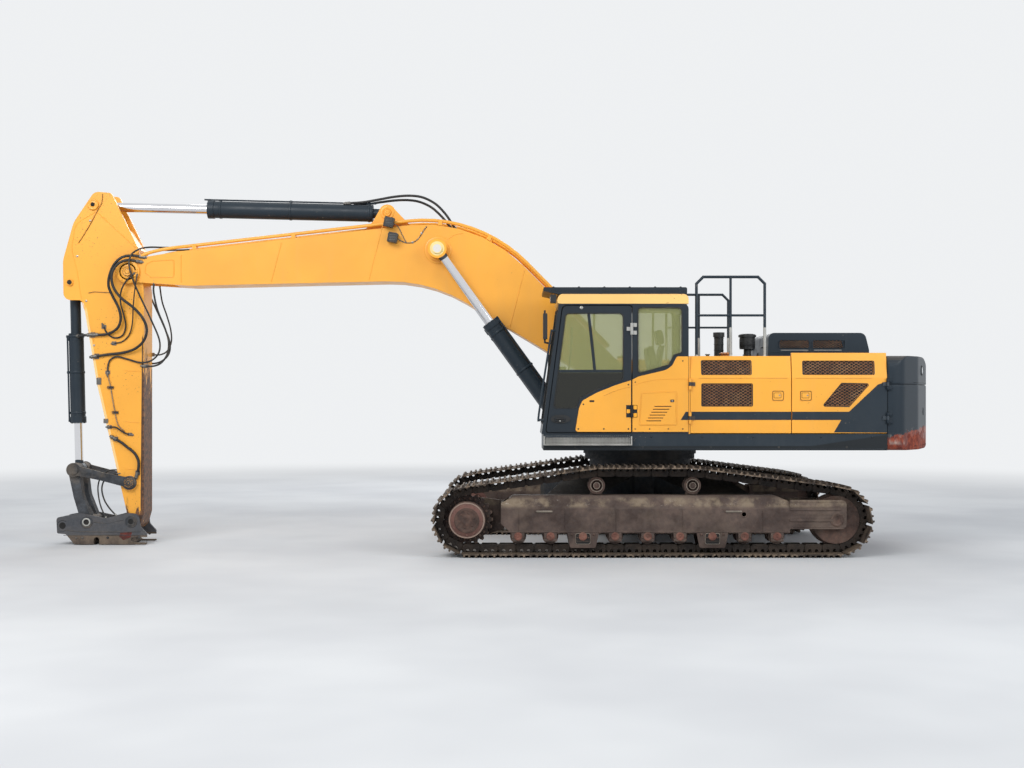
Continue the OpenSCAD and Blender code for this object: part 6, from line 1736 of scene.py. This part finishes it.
def top_fittings():
    """Pre-cleaner, exhaust rings and filler caps."""
    tops = Piece("top_fittings", "upper", plastic, "black_plastic")
    # Pre-cleaner: mesh band, domed cap and clamp; exhaust: rings and a mouth of painted shade
    cx, cy = -1.29, 0.56
    for i in range(40):
        a = 2 * math.pi * i / 40
        for first, last in ((2.49, 2.6), (2.6, 2.49)):
            spots = ((0, 0.0955, first), (0.09, 0.0962, 2.545), (0.18, 0.0955, last))
            tops.tube([(cx + r * math.cos(a + turn), cy + r * math.sin(a + turn), z)
                for turn, r, z in spots], 0.0022, 5, 1)
    tops.turned((cx, cy, 2.647), UP, [(0.104, -0.001), (0.1, 0.008), (0.07, 0.016), (0.0004, 0.02)], 36)
    tops.turned((cx, cy, 2.39), UP, [(0.0455, 0), (0.049, 0.002), (0.049, 0.016), (0.0455, 0.018)], 28)
    tops.bolt((cx + 0.05, cy, 2.399), AHEAD, 0.007)
    ex, ey = -1.1, -0.52
    for z in (2.42, 2.5, 2.58, 2.66):
        tops.turned((ex, ey, z), UP, [(0.0625, -0.006), (0.066, -0.003), (0.066, 0.003), (0.0625, 0.006)], 36)
    # The exhaust's near-black mouth: painted shade
    tops.use(shade_fill)
    tops.turned((ex, ey, 2.7335), UP, lid(0.062, 0, 0.0012), 36)
    # Orange-brown filler cap with grips round it, and a small bare cap, both beside the rails
    tops.use(cap_orange)
    fx, fy = -0.92, 1.2
    tops.turned((fx, fy, 2.347), UP, [(0.085, -0.003), (0.085, 0.004), (0.07, 0.012), (0.062, 0.018),
        (0.062, 0.034), (0.075, 0.038), (0.075, 0.052), (0.05, 0.062), (0.0004, 0.064)], 32)
    tops.use(plastic)
    for k in range(12):
        a = math.radians(30 * k)
        tops.box(fx + 0.076 * math.cos(a) - 0.004, fx + 0.076 * math.cos(a) + 0.004,
            fy + 0.076 * math.sin(a) - 0.004, fy + 0.076 * math.sin(a) + 0.004, 2.386, 2.398)
    tops.use(zinc)
    tops.turned((-0.7, 1.22, 2.347), UP, [(0.035, -0.002), (0.035, 0.006), (0.02, 0.008), (0.02, 0.03),
        (0.03, 0.033), (0.03, 0.042), (0.0004, 0.045)], 24)
    # Fuel filler on the tank: cap, bolt and grips round it
    tops.use(plastic)
    tops.turned((0.15, -0.9, 2.4238), UP, [(0.064, -0.012), (0.064, 0.004), (0.056, 0.012),
        (0.0004, 0.014)], 36)
    tops.bolt((0.15, -0.9, 2.4365), UP, 0.012)
    for k in range(10):
        a = math.radians(36 * k)
        tops.turned((0.15 + 0.062 * math.cos(a), -0.9 + 0.062 * math.sin(a), 2.412), UP,
            [(0.006, 0), (0.006, 0.014), (0.003, 0.016)], 8)
    tops.done(0.0008, 1)


def rail_feet():
    """Flanges with bolts, pale where the paint is worn off the posts' lower ends."""
    feet = Piece("rail_feet", "upper", step_metal, "chrome_rod")
    for sign, xs in ((1, (-0.548, -0.953, -1.358)), (-1, (-0.5, -0.953, -1.358))):
        for x in xs:
            place = (x, sign * 1.365, 2.3446)
            feet.turned(place, UP, [(0.038, 0.0), (0.038, 0.006), (0.03, 0.008), (0.0215, 0.012),
                (0.0185, 0.03), (0.0176, 0.032)], 24)
            feet.bolt_ring((x, sign * 1.365, 2.351), UP, 0.03, 3, 0.006, 0.5)
            if x != -0.548:
                feet.turned((x, sign * 1.365, 2.37), UP, [(0.0174, 0), (0.0179, 0.002), (0.0179, 0.3),
                    (0.0174, 0.33)], 20)
    feet.done(0.0, 1)


hood_fittings()
tail_fittings()
deck_fittings()
step_grating()
walkways()
top_fittings()
rail_feet()


# Cab inside: its floor, and the seat's middle
FLOOR = 1.4906
SEAT_X, SEAT_Y = 0.16, 1.005


def cloth_cushion(name, place, size, tilt, channels, rise):
    """A crowned cushion with sewn channels: length along its own x, width, thickness, tilted about y."""
    length, width, thick = size
    nx, ny = 40, 36
    verts, faces = [], []
    c, s = math.cos(math.radians(tilt)), math.sin(math.radians(tilt))

    def at(u, v, top):
        # A cushion's outline pulls in between its corners, and its top is crowned between its seams
        edge_u, edge_v = 1 - abs(u) ** 5, 1 - abs(v) ** 5
        pull = 1 - 0.02 * (1 - u * u) * abs(v) ** 3
        pull_u = 1 - 0.02 * (1 - v * v) * abs(u) ** 3
        roll = (max(0.0, edge_u) * max(0.0, edge_v)) ** 0.22
        dip = 0.0
        for seam in channels:
            dip += 0.011 * math.exp(-((u - seam) / 0.035) ** 2)
        for seam in (-0.56, 0.56):
            dip += 0.012 * math.exp(-((v - seam) / 0.04) ** 2)
        wing = rise * max(0.0, abs(v) - 0.56) / 0.44
        h = (thick / 2 + 0.012 * (1 - u * u) * (1 - v * v) - dip + wing) * roll if top else -thick / 2 * roll
        x, y = u * length / 2 * pull_u, v * width / 2 * pull
        return (place[0] + x * c + h * s, place[1] + y, place[2] - x * s + h * c)

    for top in (True, False):
        base = len(verts)
        for i in range(nx + 1):
            for j in range(ny + 1):
                verts.append(at(-1 + 2 * i / nx, -1 + 2 * j / ny, top))
        for i in range(nx):
            for j in range(ny):
                a = base + i * (ny + 1) + j
                faces.append([a, a + 1, a + ny + 2, a + ny + 1])
    piece = Piece(name, "upper", seat_cloth, "seat_fabric")
    piece.add(verts, faces)
    obj = piece.done()
    work = bmesh.new()
    work.from_mesh(obj.data)
    bmesh.ops.remove_doubles(work, verts=work.verts, dist=0.0015)
    bmesh.ops.recalc_face_normals(work, faces=work.faces)
    work.to_mesh(obj.data)
    work.free()
    return obj


def driver_seat():
    """Cushions, bellows, slides, shell and armrests."""
    cushion = cloth_cushion("seat_cushion", (SEAT_X + 0.02, SEAT_Y, FLOOR + 0.325), (0.49, 0.5, 0.11), 3,
        (-0.5, -0.1, 0.3), 0.02)
    cloth_cushion("seat_back", (SEAT_X - 0.225, SEAT_Y, FLOOR + 0.69), (0.62, 0.47, 0.1), -79,
        (-0.55, -0.15, 0.25), 0.02)
    cloth_cushion("seat_headrest", (SEAT_X - 0.3, SEAT_Y, FLOOR + 1.105), (0.18, 0.27, 0.09), -80, (0.0,),
        0.0)
    frame_piece = Piece("seat_frame", "upper", plastic, "black_plastic")
    y = SEAT_Y
    # Bellows of the suspension, base plate, slide rails and backrest shell
    rings = []
    for k in range(13):
        r = 0.155 if k % 2 else 0.176
        rings.append([(SEAT_X + 0.02 + p.x, y + p.y, FLOOR + 0.02 + k * 0.017)
            for p in rounded(rect(-r * 0.9, r * 0.9, -r, r, 0.03), 3)])
    frame_piece.loft(rings)
    frame_piece.box(SEAT_X - 0.14, SEAT_X + 0.18, y - 0.178, y + 0.178, FLOOR + 0.0002, FLOOR + 0.02)
    frame_piece.box(SEAT_X - 0.2, SEAT_X + 0.24, y - 0.225, y + 0.225, FLOOR + 0.225, FLOOR + 0.262)
    for side in (-0.2, 0.2):
        frame_piece.box(SEAT_X - 0.21, SEAT_X + 0.25, y + side - 0.02, y + side + 0.02, FLOOR + 0.262,
            FLOOR + 0.28)
    shell = [(-0.245, 0.36), (-0.2, 0.36), (-0.31, 1.0), (-0.345, 1.0)]
    frame_piece.prism([(SEAT_X + a, FLOOR + b) for a, b in shell], y - 0.225, y + 0.225)
    for side in (-0.06, 0.06):
        frame_piece.tube([(SEAT_X - 0.315, y + side, FLOOR + 0.98),
            (SEAT_X - 0.327, y + side, FLOOR + 1.1)], 0.008, 8, 1)
    # Armrests and the belt's anchor
    for side in (-0.262, 0.262):
        rest = rounded([(SEAT_X - 0.17, FLOOR + 0.52, 0.02), (SEAT_X + 0.14, FLOOR + 0.5, 0.02),
            (SEAT_X + 0.14, FLOOR + 0.545, 0.02), (SEAT_X - 0.17, FLOOR + 0.565, 0.02)], 3)
        frame_piece.prism(rest, y + side - 0.022 * 0.9, y + side + 0.022 * 0.9)
    frame_piece.use(zinc)
    frame_piece.box(SEAT_X - 0.12, SEAT_X - 0.07, y + 0.256, y + 0.262, FLOOR + 0.3, FLOOR + 0.4)
    frame_piece.done(0.003, 2)
    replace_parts(cushion, "seat")


def consoles():
    """Console lids, levers, display and pedals."""
    y = SEAT_Y
    top = Piece("console_tops", "upper", interior, "black_plastic")
    for side in (-1, 1):
        yy = y + side * 0.32
        # Moulded lid, switch rows and lever boot on each console
        top.use(interior)
        top.prism(rounded([(-0.045, yy - 0.05, 0.015), (0.475, yy - 0.05, 0.03), (0.475, yy + 0.05, 0.03),
            (-0.045, yy + 0.05, 0.015)], 3), FLOOR + 0.4298, FLOOR + 0.437, "z")
        top.use(plastic)
        for i in range(5):
            for j in (-1, 1):
                x0 = 0.05 + i * 0.052
                top.prism(rounded(rect(x0, x0 + 0.036, yy + j * 0.022 - 0.014, yy + j * 0.022 + 0.014,
                    0.004), 2), FLOOR + 0.436, FLOOR + 0.443, "z")
        top.use(rubber)
        base = Vector((0.441, yy, FLOOR + 0.432))
        top.turned(base, (0.17, 0, 1), [(0.033, 0), (0.038, 0.008), (0.03, 0.016), (0.034, 0.024),
            (0.026, 0.032), (0.029, 0.04), (0.021, 0.048), (0.023, 0.056), (0.0145, 0.066)], 20)
        top.use(plastic)
        grip = Vector((0.47, yy, FLOOR + 0.6))
        top.turned(grip, UP, [(0.019, -0.012), (0.0245, 0.0), (0.0255, 0.03), (0.0243, 0.055),
            (0.027, 0.09), (0.0275, 0.108), (0.02, 0.118), (0.0004, 0.119)], 20)
        top.use(zinc)
        for dy in (0.008, -0.008):
            top.turned(grip + Vector((0.0, dy, 0.117)), UP, lid(0.005, 0, 0.004), 10)
    # Display: bezel, dark screen and keys
    top.use(plastic)
    top.prism(rounded(rect(0.573, 0.727, FLOOR + 0.483, FLOOR + 0.757, 0.012), 3), 0.9745, 0.981, "x")
    top.use(mirror_dark)
    top.prism(rounded(rect(0.585, 0.715, FLOOR + 0.56, FLOOR + 0.745, 0.006), 3), 0.9738, 0.9748, "x")
    top.use(interior)
    for i in range(4):
        for j in range(2):
            top.prism(rect(0.59 + i * 0.032, 0.614 + i * 0.032, FLOOR + 0.495 + j * 0.026,
                FLOOR + 0.513 + j * 0.026), 0.972, 0.976, "x")
    # Pedal treads and knobs on the travel levers
    top.use(rubber)
    for side in (-1, 1):
        for k in range(5):
            x0 = 0.81 + k * 0.03
            top.box(x0, x0 + 0.016, y + side * 0.09 - 0.04, y + side * 0.09 + 0.04, FLOOR + 0.0398,
                FLOOR + 0.045)
        top.turned((0.84, y + side * 0.09, FLOOR + 0.46), (-0.12, 0, 1), [(0.013, -0.01), (0.019, 0.0),
            (0.021, 0.03), (0.017, 0.05), (0.0004, 0.054)], 18)
    top.done(0.0008, 1)


mirror_dark = plain("screen", srgb(16, 20, 24), 0.08, spread=0.1, grain=40, height=0.0001, strength=0.02)
driver_seat()
consoles()


def lights_and_mirror():
    """Mirror, cab work lamp, roof guard's bars and aerial foot."""
    piece = Piece("mirror_and_lamps", "upper", plastic, "black_plastic")
    # Mirror at the cab's front left corner: glass on its rear face, and its rim
    back = 1.2275
    rim = rounded(rect(1.345, 1.515, 2.565, 2.855, 0.03), 4)
    piece.use(mirror_face)
    piece.prism(rounded(rect(1.352, 1.508, 2.572, 2.848, 0.026), 4), back - 0.0012, back + 0.0005, "x")
    piece.use(plastic)
    piece.hoop(rim, back, 0.0045, axis="x")
    # Cab work lamp: bezel and lens
    x = 1.185
    piece.prism(rounded(rect(1.375, 1.485, 2.99, 3.076, 0.012), 3), x - 0.004, x + 0.003, "x")
    piece.use(lamp_lens)
    piece.prism(rounded(rect(1.384, 1.476, 2.999, 3.067, 0.01), 3), x + 0.002, x + 0.0055, "x")
    # Roof guard: bars along its top and bolts at its edges
    piece.use(slate_cab)
    for xx in (-0.35, -0.05, 0.25, 0.55, 0.85, 1.15):
        for sign_y in (0.565, 1.445):
            piece.bolt((xx, sign_y, 3.17), UP, 0.012)
    for yy in (0.66, 0.83, 1.0, 1.17, 1.34):
        piece.prism([(yy - 0.02, 3.1695), (yy + 0.02, 3.1695), (yy + 0.014, 3.176), (yy - 0.014, 3.176)],
            -0.39, 1.22, "x")
    piece.weld([(-0.42, 1.47, 3.128), (1.24, 1.47, 3.128)], 0.0035, spacing=0.1)
    # Round aerial foot on the roof
    piece.use(plastic)
    piece.turned((0.0, 0.7, 3.17), UP, [(0.03, 0), (0.03, 0.006), (0.018, 0.02), (0.006, 0.03)], 20)
    piece.done(0.0008, 1)


lights_and_mirror()


def coupler_fittings():
    """Pin rings, seams, bolts and the open rim round the nose."""
    piece = Piece("coupler_fittings", "coupler", linkage_steel, "dirty_steel")
    for sign in (1, -1):
        y = sign * 0.246
        for (x, z), lit in ((COUPLER_PIN, True), (TIP, False)):
            piece.use(linkage_steel)
            piece.turned((x, y, z), (0, sign, 0), [(0.078, -0.003), (0.078, 0.004), (0.07, 0.009),
                (0.066, 0.009)], 40)
            piece.use(step_metal if lit else linkage_steel)
            pin_y = sign * (0.2602 if lit else 0.2642)
            piece.turned((x, pin_y, z), (0, sign, 0), [(0.053, -0.014), (0.053, 0.001), (0.049, 0.004),
                (0.038, 0.004), (0.035, 0.0005), (0.0004, 0.0005)], 36)
            # A near-black disc in the pin's end: painted shade
            piece.use(shade_fill)
            piece.turned((x, pin_y, z), (0, sign, 0), lid(0.035, -0.002, 0.0012), 28)
        piece.use(linkage_steel)

        def at(u, v):
            p = point_on(TIP, -0.7, u, v)
            return (p.x, y, p.z)

        # Weld seams along the stiffening strip and the edge of the lower jaw plate
        piece.weld([at(-0.12, -0.13), at(0.3, -0.13), at(0.66, -0.12), at(0.82, -0.1)], 0.005, spacing=0.02)
        piece.weld([at(0.1, 0.02), at(0.33, -0.02), at(0.5, 0.0)], 0.0045, spacing=0.02)
        piece.weld([at(-0.19, -0.174), at(0.86, -0.164)], 0.004, spacing=0.03)
        for u, v in ((0.7, -0.2), (0.62, -0.2), (0.3, -0.2), (-0.1, -0.2)):
            piece.bolt(at(u, v), (0, sign, 0), 0.013)
        # Raised rim at the nose, open to the rear, round an eye of near-black painted shade
        claw = Vector((7.343, 0, 0.246))
        arc = [claw + Vector((0.068 * math.cos(a), y, 0.068 * math.sin(a)))
            for a in np.linspace(-2.2, 2.2, 28)]
        piece.tube(arc, 0.006, 8, 1)
        piece.use(shade_fill)
        piece.turned((claw.x, y, claw.z), (0, sign, 0), lid(0.042, -0.002, 0.0015), 28)
        piece.use(red_patch)
        rows = [(-0.01, -0.135), (0.14, -0.14), (0.155, -0.19), (0.10, -0.235), (0.01, -0.2)]
        points = [at(u, v) for u, v in rows]
        piece.prism([(p[0], p[2]) for p in points], y + sign * 0.0003, y + sign * 0.0012)
    piece.done(0.0008, 1)


red_patch = grimy("red_patch", srgb(122, 48, 42), srgb(70, 34, 30), srgb(110, 84, 70), dust=0.3, scale=14)
coupler_fittings()


# Floor: half its width, and the distances between which it gives way to the backdrop
FLOOR_HALF, FADE_FROM, FADE_TO = 60, 9, 24


def pale_floor():
    mesh = bpy.data.meshes.new("floor")
    mesh.from_pydata([(x, y, 0) for x, y in rect(-FLOOR_HALF, FLOOR_HALF, -FLOOR_HALF, FLOOR_HALF)], [],
        [[0, 1, 2, 3]])
    s = Shade("floor", srgb(205, 207, 209), 0.85, Specular_IOR_Level=0.0)
    tone = s.blend(s.step(s.noise(0.35, 3), 0.3, 0.7), srgb(198, 200, 203), srgb(210, 212, 214))
    # Far from the machine the floor gives way to the backdrop's own light
    away = s.node("VectorMath")
    away.operation = "LENGTH"
    s.tree.links.new(s.place, away.inputs[0])
    far = s.step(away.outputs["Value"], FADE_FROM, FADE_TO)
    s.link(s.blend(far, (0, 0, 0, 1), BACKDROP), s.bsdf.inputs["Emission Color"])
    s.bsdf.inputs["Emission Strength"].default_value = 1
    mesh.materials.append(s.finish(s.blend(far, tone, (0, 0, 0, 1))))
    floor = bpy.data.objects.new("floor", mesh)
    bpy.context.scene.collection.objects.link(floor)


pale_floor()
